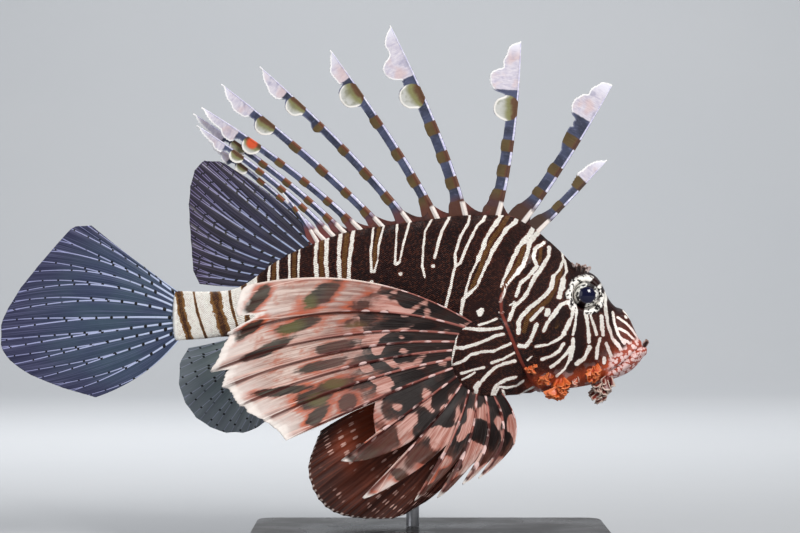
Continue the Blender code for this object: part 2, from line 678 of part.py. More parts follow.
def stand_rod():
    """The rod, from the base up to the belly."""
    low, high = BASE_HEIGHT + GAP, section(ROD_X)[1] + 4.0
    rings = []
    for z in (low, high):
        turns = [2 * math.pi * i / 20 for i in range(20)]
        rings.append([(ROD_X + ROD_RADIUS * math.cos(a), ROD_RADIUS * math.sin(a), z) for a in turns])
    return trimmed(loft("stand_rod", rings, (ROD_X, 0.0, low), (ROD_X, 0.0, high)))


def painted(made, colour, roughness, metallic=0.0):
    """Gives a piece its own material and shades its round parts smooth."""
    paint = bpy.data.materials.new(made.name)
    paint.use_nodes = True
    shader = paint.node_tree.nodes["Principled BSDF"]
    shader.inputs["Base Color"].default_value = (*colour, 1.0)
    shader.inputs["Roughness"].default_value = roughness
    shader.inputs["Metallic"].default_value = metallic
    made.data.materials.clear()
    made.data.materials.append(paint)
    made.data.shade_smooth()
    made.data.set_sharp_from_angle(angle=math.radians(50))


def main():
    for old in list(bpy.data.objects):
        bpy.data.objects.remove(old)
    painted(head(), (0.22, 0.06, 0.04), 0.45)
    painted(trunk(), (0.16, 0.05, 0.04), 0.45)
    painted(tail(), (0.45, 0.30, 0.24), 0.45)
    painted(spiny_dorsal_fin(), (0.12, 0.12, 0.22), 0.4)
    painted(soft_dorsal_fin(), (0.08, 0.08, 0.16), 0.4)
    painted(caudal_fin(), (0.09, 0.10, 0.20), 0.4)
    painted(anal_fin(), (0.12, 0.14, 0.16), 0.4)
    for name, side in (("right", -1), ("left", 1)):
        painted(eye(f"eye_{name}", side), (0.02, 0.02, 0.04), 0.1)
        painted(pectoral_fin(f"pectoral_fin_{name}", side), (0.50, 0.28, 0.22), 0.4)
        painted(pelvic_fin(f"pelvic_fin_{name}", side), (0.20, 0.05, 0.04), 0.4)
    painted(stand_base(), (0.03, 0.03, 0.03), 0.35)
    painted(stand_rod(), (0.60, 0.60, 0.62), 0.3, 1.0)


main()
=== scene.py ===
# %% [markdown]
# # A red lionfish on a display stand
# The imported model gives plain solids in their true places. This lesson dresses them: one skin with
# its scales, fins with branched rays, spines with their flags, leafy skin flaps and finished eyes.
# All sizes are in millimetres, with +X to the snout, +Y to the fish's left side and +Z up.
# The frame is loaded first, because its box is the size that every new piece has to keep to.

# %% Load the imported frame
import math

import bpy
import numpy as np
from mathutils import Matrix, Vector


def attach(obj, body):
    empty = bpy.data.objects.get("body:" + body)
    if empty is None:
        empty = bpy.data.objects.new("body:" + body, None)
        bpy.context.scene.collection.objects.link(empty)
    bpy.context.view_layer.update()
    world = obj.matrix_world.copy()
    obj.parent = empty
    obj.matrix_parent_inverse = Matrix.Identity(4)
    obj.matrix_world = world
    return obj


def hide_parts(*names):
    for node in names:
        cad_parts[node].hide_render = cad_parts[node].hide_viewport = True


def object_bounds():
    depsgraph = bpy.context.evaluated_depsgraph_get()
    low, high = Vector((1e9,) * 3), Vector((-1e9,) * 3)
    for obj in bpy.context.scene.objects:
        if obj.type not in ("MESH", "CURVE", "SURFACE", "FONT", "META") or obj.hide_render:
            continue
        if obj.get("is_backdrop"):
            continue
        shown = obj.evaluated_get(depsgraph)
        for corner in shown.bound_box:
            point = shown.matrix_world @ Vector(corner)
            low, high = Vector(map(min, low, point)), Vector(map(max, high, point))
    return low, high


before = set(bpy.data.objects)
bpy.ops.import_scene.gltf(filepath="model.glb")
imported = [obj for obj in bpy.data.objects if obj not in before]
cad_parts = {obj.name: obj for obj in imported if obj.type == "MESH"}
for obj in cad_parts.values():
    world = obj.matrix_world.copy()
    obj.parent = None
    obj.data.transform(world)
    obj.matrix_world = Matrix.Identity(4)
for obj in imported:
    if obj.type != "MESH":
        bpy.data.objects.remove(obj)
cad_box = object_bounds()
print("CAD box in metres:", [round(value, 4) for corner in cad_box for value in corner])

# %% [markdown]
# ## Camera, floor and light
# A museum model is looked at level and side on. The camera stands 1.3 m off, which keeps the fins
# that reach out to the side in proportion. The backdrop is one sheet that runs from the floor up
# into a wall with a round bend, so that no horizon line shows. A grid is bent to that shape row by
# row. Large soft lamps give the even light of a studio: one from above in front, a weaker one from
# the other side, one from behind for the edges of the fins, and a fourth for the backdrop's wall.

# %% Camera and backdrop
MM = 0.001
VIEW_X, VIEW_Z = -13.86, 130.155
VIEW_DISTANCE = 1300.0
VIEW_LENS = 126.6


def added(operator, name, **sizes):
    """Adds a primitive with nothing else selected, and hands it back under its name."""
    bpy.ops.object.select_all(action="DESELECT")
    operator(**sizes)
    bpy.context.object.name = name
    return bpy.context.object


camera_place = (VIEW_X * MM, -VIEW_DISTANCE * MM, VIEW_Z * MM)
camera = added(bpy.ops.object.camera_add, "camera", location=camera_place, rotation=(math.pi / 2, 0, 0))
camera.data.lens = VIEW_LENS
bpy.context.scene.camera = camera

SWEEP_WIDE, SWEEP_FRONT, SWEEP_BACK, SWEEP_BEND, SWEEP_TALL = 6.0, -2.2, 1.6, 0.9, 3.2
backdrop = added(bpy.ops.mesh.primitive_grid_add, "studio_backdrop", x_subdivisions=2, y_subdivisions=60,
                 size=1.0)
flat_length = SWEEP_BACK - SWEEP_FRONT
bend_length = SWEEP_BEND * math.pi / 2
for vertex in backdrop.data.vertices:
    along = (vertex.co.y + 0.5) * (flat_length + bend_length + SWEEP_TALL)
    turn = min(max((along - flat_length) / SWEEP_BEND, 0.0), math.pi / 2)
    rise = max(along - flat_length - bend_length, 0.0)
    y = SWEEP_FRONT + min(along, flat_length) + SWEEP_BEND * math.sin(turn)
    vertex.co = (vertex.co.x * SWEEP_WIDE, y, SWEEP_BEND * (1 - math.cos(turn)) + rise)
bpy.ops.object.shade_smooth()
backdrop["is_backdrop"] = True
print("backdrop depth:", SWEEP_BACK + SWEEP_BEND, "m")

# %% Lamps
def soft_lamp(name, place, aim, width, power, colour=(1.0, 1.0, 1.0)):
    """A square soft lamp at a place in metres, turned to its aim."""
    lamp = added(bpy.ops.object.light_add, name, type="AREA", location=place)
    lamp.data.size = width
    lamp.data.energy = power
    lamp.data.color = colour
    lamp.rotation_euler = (Vector(aim) - Vector(place)).to_track_quat("-Z", "Y").to_euler()


FISH_MIDDLE = (-0.02, 0.0, 0.12)
soft_lamp("key_lamp", (0.55, -0.95, 0.85), FISH_MIDDLE, 0.45, 16.5, (1.0, 0.98, 0.95))
soft_lamp("fill_lamp", (-1.0, -0.9, 0.35), FISH_MIDDLE, 0.9, 4.2, (0.93, 0.96, 1.0))
soft_lamp("back_lamp", (-0.3, 0.8, 0.9), FISH_MIDDLE, 0.7, 8.0)
soft_lamp("wall_lamp", (0.0, 1.0, 1.6), (0.0, 2.4, 0.4), 1.6, 42.0)
studio = bpy.context.scene.world or bpy.data.worlds.new("studio")
bpy.context.scene.world = studio
studio.use_nodes = True
air = studio.node_tree.nodes["Background"]
air.inputs["Color"].default_value = (0.86, 0.9, 0.95, 1.0)
air.inputs["Strength"].default_value = 0.22
# A plain response, so that a paint shows in the picture as it is on the chart.
bpy.context.scene.view_settings.view_transform = "Standard"

# %% [markdown]
# ## The profile of the body
# The solids were lofted from a few tables: the line of the back, of the belly, of the widest point
# and the half width. The skin is made from the same tables, so it lies where the solids are. Each
# table is read through a smooth curve that never overshoots between two of its points. All reading
# is done on whole arrays at once, because the skin has about ninety thousand points.
# Heights and half widths are given at stations x along the body.

# %% Profile tables
BACK = [(-117.3, 119.1), (-106, 118.8), (-93.5, 119.3), (-83, 123.7), (-75, 130.1), (-64.5, 136.3),
        (-51.5, 141.9), (-38.5, 146.3), (-20, 149.3), (0, 152.1), (17.5, 154.1), (33.5, 154.1),
        (45, 149.8), (54, 143.1), (61, 136.9), (66, 132.5), (71.5, 130.1), (76, 127.5), (79, 123.5),
        (82, 116.5), (85.5, 112.1), (88.5, 110.9), (91.5, 108.3), (95, 102.5), (98, 97.3), (100.7, 93.7)]
BELLY = [(-117.3, 95.7), (-106, 96.4), (-93.5, 97.5), (-82, 93.9), (-64.5, 87.0), (-41.5, 79.6),
         (-14, 74.0), (9, 71.5), (32, 71.0), (48.5, 72.4), (67, 74.0), (78.5, 76.3), (88, 79.1),
         (94.5, 82.3), (98.4, 85.5), (100.7, 88.3)]
WIDEST = [(-117.3, 107.5), (-92, 108.2), (-46, 109.0), (-4, 106.5), (32, 102.0), (55, 98.5),
          (74, 97.0), (88, 94.0), (100.7, 91.3)]
HALF_WIDTH = [(-117.3, 3.2), (-106, 4.6), (-92, 5.8), (-77, 7.6), (-60, 10), (-37, 13), (-14, 15.8),
              (9, 18.6), (28, 20.4), (42, 20.8), (55, 19.4), (69, 16.6), (78, 14.2), (85.5, 12.2),
              (92.5, 10), (98, 7.6), (100.7, 5.6)]
TAIL_END, SNOUT_END, SNOUT_TIP = -117.3, 100.7, 102.4
ROUND_TOP, ROUND_BELOW = 1.9, 2.1


def read_table(points, at):
    """The smooth curve through points (x, value), read at an array of x."""
    xs, values = np.array(points, float).T
    slopes = np.diff(values) / np.diff(xs)
    tangents = np.concatenate([slopes[:1], (slopes[:-1] + slopes[1:]) / 2, slopes[-1:]])
    limit = 3 * np.minimum(abs(slopes[:-1]), abs(slopes[1:]))
    inner = np.sign(slopes[1:]) * np.minimum(abs(tangents[1:-1]), limit)
    tangents[1:-1] = np.where(slopes[:-1] * slopes[1:] > 0, inner, 0.0)
    at = np.clip(at, xs[0], xs[-1])
    i = np.clip(np.searchsorted(xs, at, side="right") - 1, 0, len(xs) - 2)
    span = xs[i + 1] - xs[i]
    t = (at - xs[i]) / span
    start = (1 + 2 * t) * (1 - t) ** 2 * values[i] + t * (1 - t) ** 2 * span * tangents[i]
    return start + t * t * (3 - 2 * t) * values[i + 1] + t * t * (t - 1) * span * tangents[i + 1]


def section(x, grow=0.0):
    """Top, bottom, height of the widest point and half width of the body at x."""
    half = read_table(HALF_WIDTH, x) + grow
    return read_table(BACK, x) + grow, read_table(BELLY, x) - grow, read_table(WIDEST, x), half


def flank(x, z):
    """Half width of the body at x and height z."""
    top, bottom, wide, half = section(x)
    above = z > wide
    power = np.where(above, ROUND_TOP, ROUND_BELOW)
    reach = np.where(above, (z - wide) / (top - wide), (wide - z) / (wide - bottom))
    return half * np.maximum(1 - abs(reach) ** power, 0.0) ** (1 / power)


def smooth_step(low, high, at):
    """0 below low, 1 above high and an even slope between."""
    t = np.clip((at - low) / (high - low), 0.0, 1.0)
    return t * t * (3 - 2 * t)


def bump(distance, reach):
    """1 at no distance, falling off softly over the reach."""
    return np.exp(-((distance / reach) ** 2))


def distance_to(line, x, z):
    """How far each (x, z) is from a line of points."""
    nearest = np.full(np.shape(x), 1e9)
    for (x1, z1), (x2, z2) in zip(line, line[1:]):
        dx, dz = x2 - x1, z2 - z1
        t = np.clip(((x - x1) * dx + (z - z1) * dz) / (dx * dx + dz * dz), 0.0, 1.0)
        nearest = np.minimum(nearest, np.hypot(x - x1 - dx * t, z - z1 - dz * t))
    return nearest


print("height of the body amidships:", round(float(np.subtract(*section(0.0)[:2])), 1), "mm")

# %% [markdown]
# ## The markings
# A lionfish's bars are white lines on dark brown, mostly in pairs with a warmer brown between. They
# could be painted by a wave texture, but the real lines fork, hook and end in loops. So each is a
# short list of points with its half width, in the side view, the same on both sides. Every point of
# the skin and the scales gets its distance to the nearest line as a share of that half width, kept
# as an attribute. The material turns this into a sharp line, so its edge is finer than the mesh.

# %% Lines of the trunk, nape, cheek and fin base
TRUNK_LINES = [
    (0.65, [(-73.7, 132.2), (-74.2, 128.1), (-74.4, 123), (-74.4, 114.7), (-73.5, 103.1), (-71.6, 93.9)]),
    (0.65, [(-70.2, 134.1), (-70.2, 128.5), (-70, 123), (-69.3, 110.1), (-67.5, 92.5)]),
    (0.6, [(-65, 137.8), (-64.8, 131.3), (-64.7, 124.8), (-64.2, 114.7), (-62.4, 91.6)]),
    (0.6, [(-60.2, 139.6), (-60.5, 132.2), (-60.6, 124.8), (-59.6, 110.1), (-57.8, 89.3)]),
    (1.11, [(-52.2, 144.2), (-52.7, 133.8), (-52, 124.5), (-51.3, 110.1), (-49.9, 87)]),
    (1.04, [(-47.6, 145.6), (-47.8, 132.2), (-47.1, 124.4), (-46.2, 110.1), (-44.8, 85.1)]),
    (1.04, [(-41.2, 146.1), (-42, 133.8), (-41.4, 124.1), (-40.7, 110.1), (-39.3, 83.3)]),
    (0.97, [(-35.2, 147.9), (-37, 133.8), (-37.4, 123.6), (-37, 110.1), (-36, 81.9)]),
    (0.6, [(-25.9, 150.7), (-27.3, 136.4), (-26.9, 127.6)]),
    (0.53, [(-20.6, 151.6), (-23.7, 139.6), (-24.1, 132.9), (-25.6, 127.6)]),
    (0.58, [(-15, 153), (-15.7, 139.7), (-16.2, 131.3)]),
    (0.58, [(-8.8, 154.4), (-9.8, 149.6), (-12.2, 141.1), (-14, 132.2), (-15.5, 131.1)]),
    (0.55, [(2.8, 156.7), (0.3, 151), (-2.3, 146.3), (-3.2, 138.7), (-3.7, 130.4), (-2.5, 125.3)]),
    (0.69, [(9.5, 157.2), (8.6, 152), (5.3, 146.3), (3.4, 139.7), (2, 134.1)]),
    (0.69, [(19.2, 158.1), (17.6, 150.1), (13.8, 144), (11.4, 135.9), (11.4, 130.8), (10, 124.6), (8.6, 118),
            (6.7, 111), (5.1, 100.8), (3.2, 86), (2.8, 68.5)]),
    (0.69, [(26.8, 157.2), (24.6, 151.5), (21.7, 149.1), (18.5, 143), (15.7, 136.9), (13.8, 131.8),
            (11.9, 130.4)]),
    (1.06, [(34.2, 157.6), (32.8, 153.5), (30.3, 150.1), (26, 144), (23.7, 137.8), (21.7, 133.2)]),
    (0.55, [(21.7, 133.2), (18.5, 126.5), (16.6, 120.9), (14.3, 110.1), (11.6, 96.2), (8.8, 82.3),
            (7.9, 66.2)]),
    (1.06, [(41.1, 155.3), (39.3, 150.6), (35, 147.2), (31.7, 142.5), (28.4, 137.3), (26, 131.8)]),
    (0.74, [(26, 131.8), (23.1, 125.6), (21.3, 121.3), (18, 118), (14.7, 115.1), (14.2, 111), (13.8, 106.4)]),
    (0.6, [(-23.1, 114.7), (-21.7, 100.8), (-19.4, 74)]),
    (0.6, [(-17.1, 114.7), (-15.7, 100.8), (-13.4, 72.2)]),
    (0.65, [(-8.3, 114.7), (-7.4, 100.8), (-5.5, 70.3)]),
    (0.51, [(-2.5, 114.7), (-1.8, 100.8), (-0.9, 69.4)]),
]
NAPE_LINES = [
    (1.11, [(48, 148.9), (45.7, 144.9), (40.2, 138.7), (37.8, 134.1), (35.4, 128.4)]),
    (0.74, [(35.4, 128.4), (33.1, 123.7), (32.2, 120.9)]),
    (1.11, [(50.8, 146.6), (45.7, 141.6), (44.4, 136.4), (42.5, 130.8), (39.7, 127.5)]),
    (0.69, [(39.7, 127.5), (37.8, 125.6), (34.5, 121.3), (33.6, 118.5), (31.7, 114.2)]),
    (0.95, [(52.5, 141.2), (48.1, 138.4), (47.1, 134.6), (48.7, 130.3), (44.3, 125.3), (41.1, 122.6),
            (38.9, 116.6)]),
    (1.0, [(54.7, 139), (54.4, 135.2), (50.3, 128.6), (47.6, 125.3), (44.9, 119.9), (42.7, 116.1),
           (38.3, 112.3), (35.6, 105.7)]),
    (0.46, [(38.3, 114.2), (36, 112.4)]),
    (0.69, [(60.9, 138.2), (61.2, 133.2), (59.1, 128.5), (56.4, 125.8)]),
    (1.06, [(56.4, 125.8), (55.3, 120.7), (53.1, 117.9), (49.2, 114.4), (45.7, 111.9), (41.6, 107.7),
            (40.1, 105), (40.1, 99.9)]),
    (0.65, [(61.9, 133.2), (62.6, 128.1), (60.9, 124.8)]),
    (1.39, [(60.9, 124.4), (60.1, 120.7), (58.9, 116.1)]),
    (0.85, [(51, 111.2), (49.2, 109.4), (45.7, 105.7)]),
    (1.06, [(48.3, 103.6), (47.1, 100.4), (45.5, 96.7), (43, 93.7), (40.5, 94.1)]),
    (1.2, [(53.5, 109.8), (52.9, 108.4)]),
    (0.46, [(44.2, 87.5), (46.2, 89.3)]),
    (0.55, [(31.4, 109.3), (33.1, 109.3)]),
]
CHEEK_LINES = [
    (1.02, [(62.9, 113.9), (59.6, 113), (56.6, 108.6), (53.4, 104.6), (51.4, 100.8)]),
    (0.88, [(62.9, 113.9), (65, 110.1), (64.6, 107), (63.5, 105.4)]),
    (1.11, [(63.5, 105.4), (62.4, 103.1), (60.8, 99.9)]),
    (0.65, [(65.6, 113.8), (66.8, 110.1), (66.2, 104.5), (65.1, 99)]),
    (1.02, [(65, 97.1), (64.9, 92.5), (63.6, 87.9)]),
    (0.65, [(63.6, 87.9), (61.4, 83.4), (57.8, 80.1)]),
    (0.69, [(48, 93.7), (53.3, 94.5), (58.2, 97), (61.4, 99.4)]),
    (0.88, [(50.8, 87.9), (55, 89.3), (58.7, 91.7), (60.8, 95)]),
    (0.79, [(55, 84.2), (58.7, 87.1), (61.9, 90.4), (63.8, 93.4)]),
    (0.92, [(71, 109.6), (71.8, 104.5), (72.4, 99), (72.5, 95.7)]),
    (1.11, [(72.7, 93.4), (70.4, 88.3), (67, 85.6)]),
    (0.79, [(73.2, 107.9), (74.8, 103.4), (76, 99)]),
    (0.92, [(77.6, 97.3), (76.6, 93.4), (76, 88.3)]),
    (1.06, [(78.3, 107.3), (78.5, 102.9), (79, 99)]),
    (0.92, [(79.6, 88.3), (79.6, 86)]),
    (0.83, [(81.1, 118.8), (80.4, 113.5), (80.4, 109.1), (81.6, 102.9), (83.2, 97.3), (86.7, 93.4),
            (88.2, 90)]),
    (0.83, [(80.4, 95), (82.2, 90.7), (83.9, 86)]),
    (0.74, [(83.9, 109.1), (84.4, 104.5), (86.1, 99), (88.9, 95)]),
    (0.69, [(89.4, 109.8), (92.9, 105.7), (95.6, 100.6), (97.5, 97.1)]),
    (0.6, [(86.1, 106.8), (90.1, 104.1), (93.3, 100.6), (95.6, 97.3)]),
    (0.6, [(86.7, 101.7), (90.1, 100), (92.9, 97.3), (95.1, 95.6)]),
    (0.79, [(90, 107.1), (90.4, 106.7)]),
    (0.6, [(88.2, 96.7), (90.6, 95.7), (92.4, 93.9)]),
    (0.6, [(66.5, 120.2), (65.1, 117), (66.1, 113.8)]),
    (0.65, [(68.4, 125.3), (67.5, 122.5), (66.1, 119.8)]),
]
FIN_BASE_LINES = [
    (0.58, [(30.2, 106.5), (26.1, 104.8), (21.9, 103.6)]),
    (0.79, [(32.2, 102.4), (26.9, 101.6), (21.1, 101.6), (13.9, 102.2)]),
    (0.79, [(33.1, 99.5), (29.4, 98.7), (26.1, 97), (21.9, 95.4), (14.9, 93), (11.6, 93.3)]),
    (0.79, [(36.4, 95), (33.1, 93.7), (28.6, 91.7), (23.1, 91.3), (18.2, 90), (14.9, 87.1), (10.8, 85.5)]),
    (0.69, [(38, 90.8), (33.5, 88.3), (27.7, 86.3)]),
    (0.83, [(38.4, 87.1), (33.5, 85.9), (29.4, 84.2), (26.5, 81.4), (23.6, 78)]),
    (1.39, [(22.2, 76.8), (20.8, 74.8), (21, 72.6)]),
    (0.65, [(24.4, 84.2), (19.1, 83), (14.1, 81.4)]),
    (0.55, [(20.3, 81.9), (17, 79.7), (14.5, 78.5)]),
    (0.83, [(39.3, 79.7), (34.3, 78.5), (30.2, 76), (28.6, 72.7), (27.9, 66.2)]),
    (0.58, [(42.5, 78), (39.7, 75.6), (35.1, 74.8), (31.4, 75.2), (29.8, 71.9), (29.8, 68)]),
    (0.58, [(33.1, 73.6), (35.1, 68.9), (36.4, 65.7)]),
    (0.6, [(47.6, 74.9), (43.4, 72.6), (39.7, 70.3), (38.3, 64.8)]),
    (0.6, [(50.8, 72.6), (46.7, 69.9), (43.9, 66.2)]),
]
OCHRE_BANDS = [
    (0.85, [(50.7, 138.6), (50.3, 133.4), (45.9, 126.2)]),
    (1.1, [(60.2, 130.2), (59, 125)]),
    (1.04, [(-71.6, 133.2), (-72.1, 123.9), (-71.1, 96.2)]),
    (1.04, [(-62.6, 136.9), (-62.6, 124.8), (-61, 91.6)]),
    (1.16, [(-49.9, 143.3), (-50.1, 133.2), (-49.4, 123.9), (-47.6, 87)]),
    (1.27, [(-38.3, 144.7), (-39.5, 133.2), (-39.3, 123.9), (-37.9, 83.3)]),
    (0.92, [(-23.3, 148.9), (-25.4, 137.8), (-25.4, 129.5)]),
    (1.16, [(36, 153.5), (32.3, 147.9), (28.2, 142.4), (24.9, 135.9), (22.6, 128.5), (18.5, 119.3)]),
    (1.27, [(47.6, 145.6), (42.5, 138.7), (40.7, 132.2), (36, 124.8), (33.3, 120.2)]),
    (1.16, [(57.8, 124.8), (56.4, 119.3), (53.6, 114.7), (49, 111), (44.4, 107.3), (42.5, 100.8)]),
    (0.92, [(58.2, 106.4), (57.3, 102.7)]),
]
DARK_BANDS = [
    (2.08, [(69.8, 114.7), (68.2, 110.1), (67.6, 101.7), (67.6, 93.4), (66.5, 87.4), (63.8, 83.3)]),
    (1.16, [(82.5, 114.7), (82.7, 111.3), (83.2, 104.5), (85, 99), (88.7, 93.9)]),
    (2.08, [(60.1, 110.1), (56.4, 104.5)]),
    (2.1, [(72.1, 116.5), (74.5, 121.5), (79.5, 126.5)]),
]
TAIL_BARS = [
    (1.6, [(-116.4, 120.7), (-114.6, 109.6), (-110.4, 94.8)]),
    (0.55, [(-109.5, 120.2), (-107.2, 109.1), (-103, 96.2)]),
    (2.3, [(-100.3, 121.1), (-97.5, 110.1), (-93.3, 95.3)]),
    (0.6, [(-92.9, 121.1), (-91.5, 112.4), (-88.2, 100.8), (-86.9, 93.9)]),
    (1.2, [(-86.4, 126.2), (-85, 114.7), (-82.7, 93.9)]),
]
WHITE_GROUND_TO, WHITE_GROUND_FADE = -79.7, 0.8
AXIL_HALO, FAR_SHARE = 1.15, 9.0
LIP_REACH, LIP_EDGE, JAW_REACH = 6.4, 4.6, 5.0
EYE_X, EYE_Z, EYE_RADIUS, EYE_STANDS_OUT = 71.4, 117.0, 6.2, 2.4
WHITE_SPOTS = [(-27, 123, 0.95), (-13.6, 126.7, 1.0), (1.3, 130.4, 0.95), (22.4, 109.1, 1.6),
               (23.4, 110.2, 1.5)]
AXIL_SPOT = (22.2, 110.1, 4.3)
GILL_EDGE = [(60.5, 155.5), (56.5, 146.5), (50, 138), (41, 129.5), (34.5, 122.5), (32, 116), (32.3, 109),
             (36.5, 98.5), (41.1, 87.4), (46.2, 77.7), (54.5, 66.5)]
MOUTH = [(104.5, 94.1), (99.3, 93.3), (95.2, 91.1), (91.5, 87.9), (87.2, 84.7), (82.5, 82.1)]
JAW_LINE = [(50, 75.5), (67, 77), (79, 80), (86.5, 86.5)]
print("white lines:", len(TRUNK_LINES) + len(NAPE_LINES) + len(CHEEK_LINES) + len(FIN_BASE_LINES))

# %% Distance to the nearest line, as a share of its half width
def share_of(lines, x, z):
    """The least distance to any of the lines, where 1 is the line's own edge."""
    least = np.full(np.shape(x), FAR_SHARE)
    for half, line in lines:
        least = np.minimum(least, distance_to(line, x, z) / half)
    return least


def markings(x, z):
    """The attributes that the skin and its scales share, read in the side view."""
    white = share_of(TRUNK_LINES + NAPE_LINES + CHEEK_LINES + FIN_BASE_LINES, x, z)
    ground = 1.0 + (x - WHITE_GROUND_TO) / WHITE_GROUND_FADE
    white = np.minimum(white, np.maximum(ground, 2.0 - share_of(TAIL_BARS, x, z)))
    spot_x, spot_z, spot_radius = AXIL_SPOT
    axil = np.hypot(x - spot_x, z - spot_z) / spot_radius
    white = np.where(axil < AXIL_HALO, FAR_SHARE, white)
    for x0, z0, radius in WHITE_SPOTS:
        white = np.minimum(white, np.hypot(x - x0, z - z0) / radius)
    return {
        "white": white,
        "ochre": share_of(OCHRE_BANDS, x, z),
        "dark": np.minimum(share_of(DARK_BANDS, x, z), axil),
        "rosy": smooth_step(66.0, 92.0, x) * smooth_step(112.0, 96.0, z),
        "jaw": bump(distance_to(JAW_LINE, x, z), JAW_REACH),
        "tail": smooth_step(-74.0, -86.0, x),
        "lips": smooth_step(LIP_REACH, LIP_EDGE, distance_to(MOUTH, x, z)) * smooth_step(80.0, 84.0, x),
        "eyeward": np.hypot(x - EYE_X, z - EYE_Z),
        "gill_edge": distance_to(GILL_EDGE, x, z) + 9 * smooth_step(118.0, 125.0, z),
    }


def give(thing, values):
    """Keeps arrays of one number a point as attributes of a mesh object."""
    for name, numbers in values.items():
        attribute = thing.data.attributes.new(name, "FLOAT", "POINT")
        attribute.data.foreach_set("value", np.ascontiguousarray(numbers, np.float32))


print("markings at the cheek:", {k: round(float(v), 2) for k, v in markings(70.0, 100.0).items()})

# %% [markdown]
# ## Skin
# On the animal one skin covers head, trunk and tail. A subdivided sphere is closed from the start
# and its rings can be sent to stations along the body, so the sphere's poles become the snout and
# the tail's end and no seam is left. Its points are moved in one go by the profile tables. Relief
# is then added along the outward direction: the gill cover's flare, cheek ridge, lips, mouth line,
# nostrils, brow and the rim of each eye socket. The fleshy base of each pectoral fin is part of the
# same skin. Rings lie closer on the head, where the markings and the relief are finest.

# %% Relief of the head and fin bases
SKIN_DEPTH = 0.35
EYE_Y = float(flank(EYE_X, EYE_Z)) + EYE_STANDS_OUT - EYE_RADIUS
SOCKET_RIM, SOCKET_FLOOR = 6.9, 5.7
NOSTRILS = [(88.5, 106.0), (84.0, 107.5)]
CHEEK_RIDGE = [(58, 82.5), (54, 92.5), (57, 104.5), (63, 110.5)]
LOBE_X, LOBE_Z, LOBE_LONG, LOBE_TALL, LOBE_THICK = 26.5, 88.5, 17.5, 18.5, 4.5
LOBE_Y, LOBE_LEAN = 16.2, 15.0
# Height and reach of each ridge or hollow, and how far off its line the ridge runs.
GILL_RIDGE, CHEEK_SWELL, BROW_HOLLOW = (0.9, 7.0), (0.7, 2.6), (1.6, 3.2)
LIP_SWELL, LIP_OFF, MOUTH_GROOVE = (0.8, 1.4), 1.8, (1.5, 0.55)
EYE_RIDGE, EYE_RIDGE_OFF, BROW_LONG = (1.2, 1.5), 0.5, 8.0
NOSTRIL_RIM, NOSTRIL_RADIUS, NOSTRIL_PIT = (0.75, 0.4), 0.95, (1.3, 0.55)
GILL_STEP, GILL_STEP_LONG = 0.9, 4.0


def ridge(distance, height, reach):
    """A rise of that height along a line, at a distance from it."""
    return height * bump(distance, reach)


def head_relief(x, y, z):
    """How far the skin of the head stands out of the plain profile."""
    from_mouth = distance_to(MOUTH, x, z)
    from_eye = np.hypot(x - EYE_X, z - EYE_Z)
    out = ridge(distance_to(GILL_EDGE, x, z), *GILL_RIDGE) * smooth_step(126.0, 112.0, z)
    out += ridge(distance_to(CHEEK_RIDGE, x, z), *CHEEK_SWELL)
    out += ridge(from_mouth - LIP_OFF, *LIP_SWELL) - ridge(from_mouth, *MOUTH_GROOVE)
    out += ridge(from_eye - SOCKET_RIM - EYE_RIDGE_OFF, *EYE_RIDGE)
    out -= ridge(y, *BROW_HOLLOW) * bump(x - EYE_X, BROW_LONG) * (z > EYE_Z)
    for nostril_x, nostril_z in NOSTRILS:
        away = np.hypot(x - nostril_x, z - nostril_z)
        out += ridge(away - NOSTRIL_RADIUS, *NOSTRIL_RIM) - ridge(away, *NOSTRIL_PIT)
    # The gill cover ends in a free edge, so the skin steps down just behind it.
    edge_x = np.interp(z, *np.array(GILL_EDGE[::-1]).T[::-1])
    behind = edge_x - x
    step_down = GILL_STEP * smooth_step(0.0, 0.5, behind) * smooth_step(GILL_STEP_LONG, 0.5, behind)
    return out - step_down * smooth_step(138, 128, z)


TAIL_CAP, SNOUT_DRAWN_IN, SNOUT_FROM = 1.6, 2.2, 88.0
SOCKET_DEPTH, SOCKET_SIDE = 0.6, 4.0
LOBE_SLOPE, LOBE_BLEND, LOBE_SINK, LOBE_REACH, LOBE_TOP = 12.0, 0.8, 0.12, 1.25, 22.5


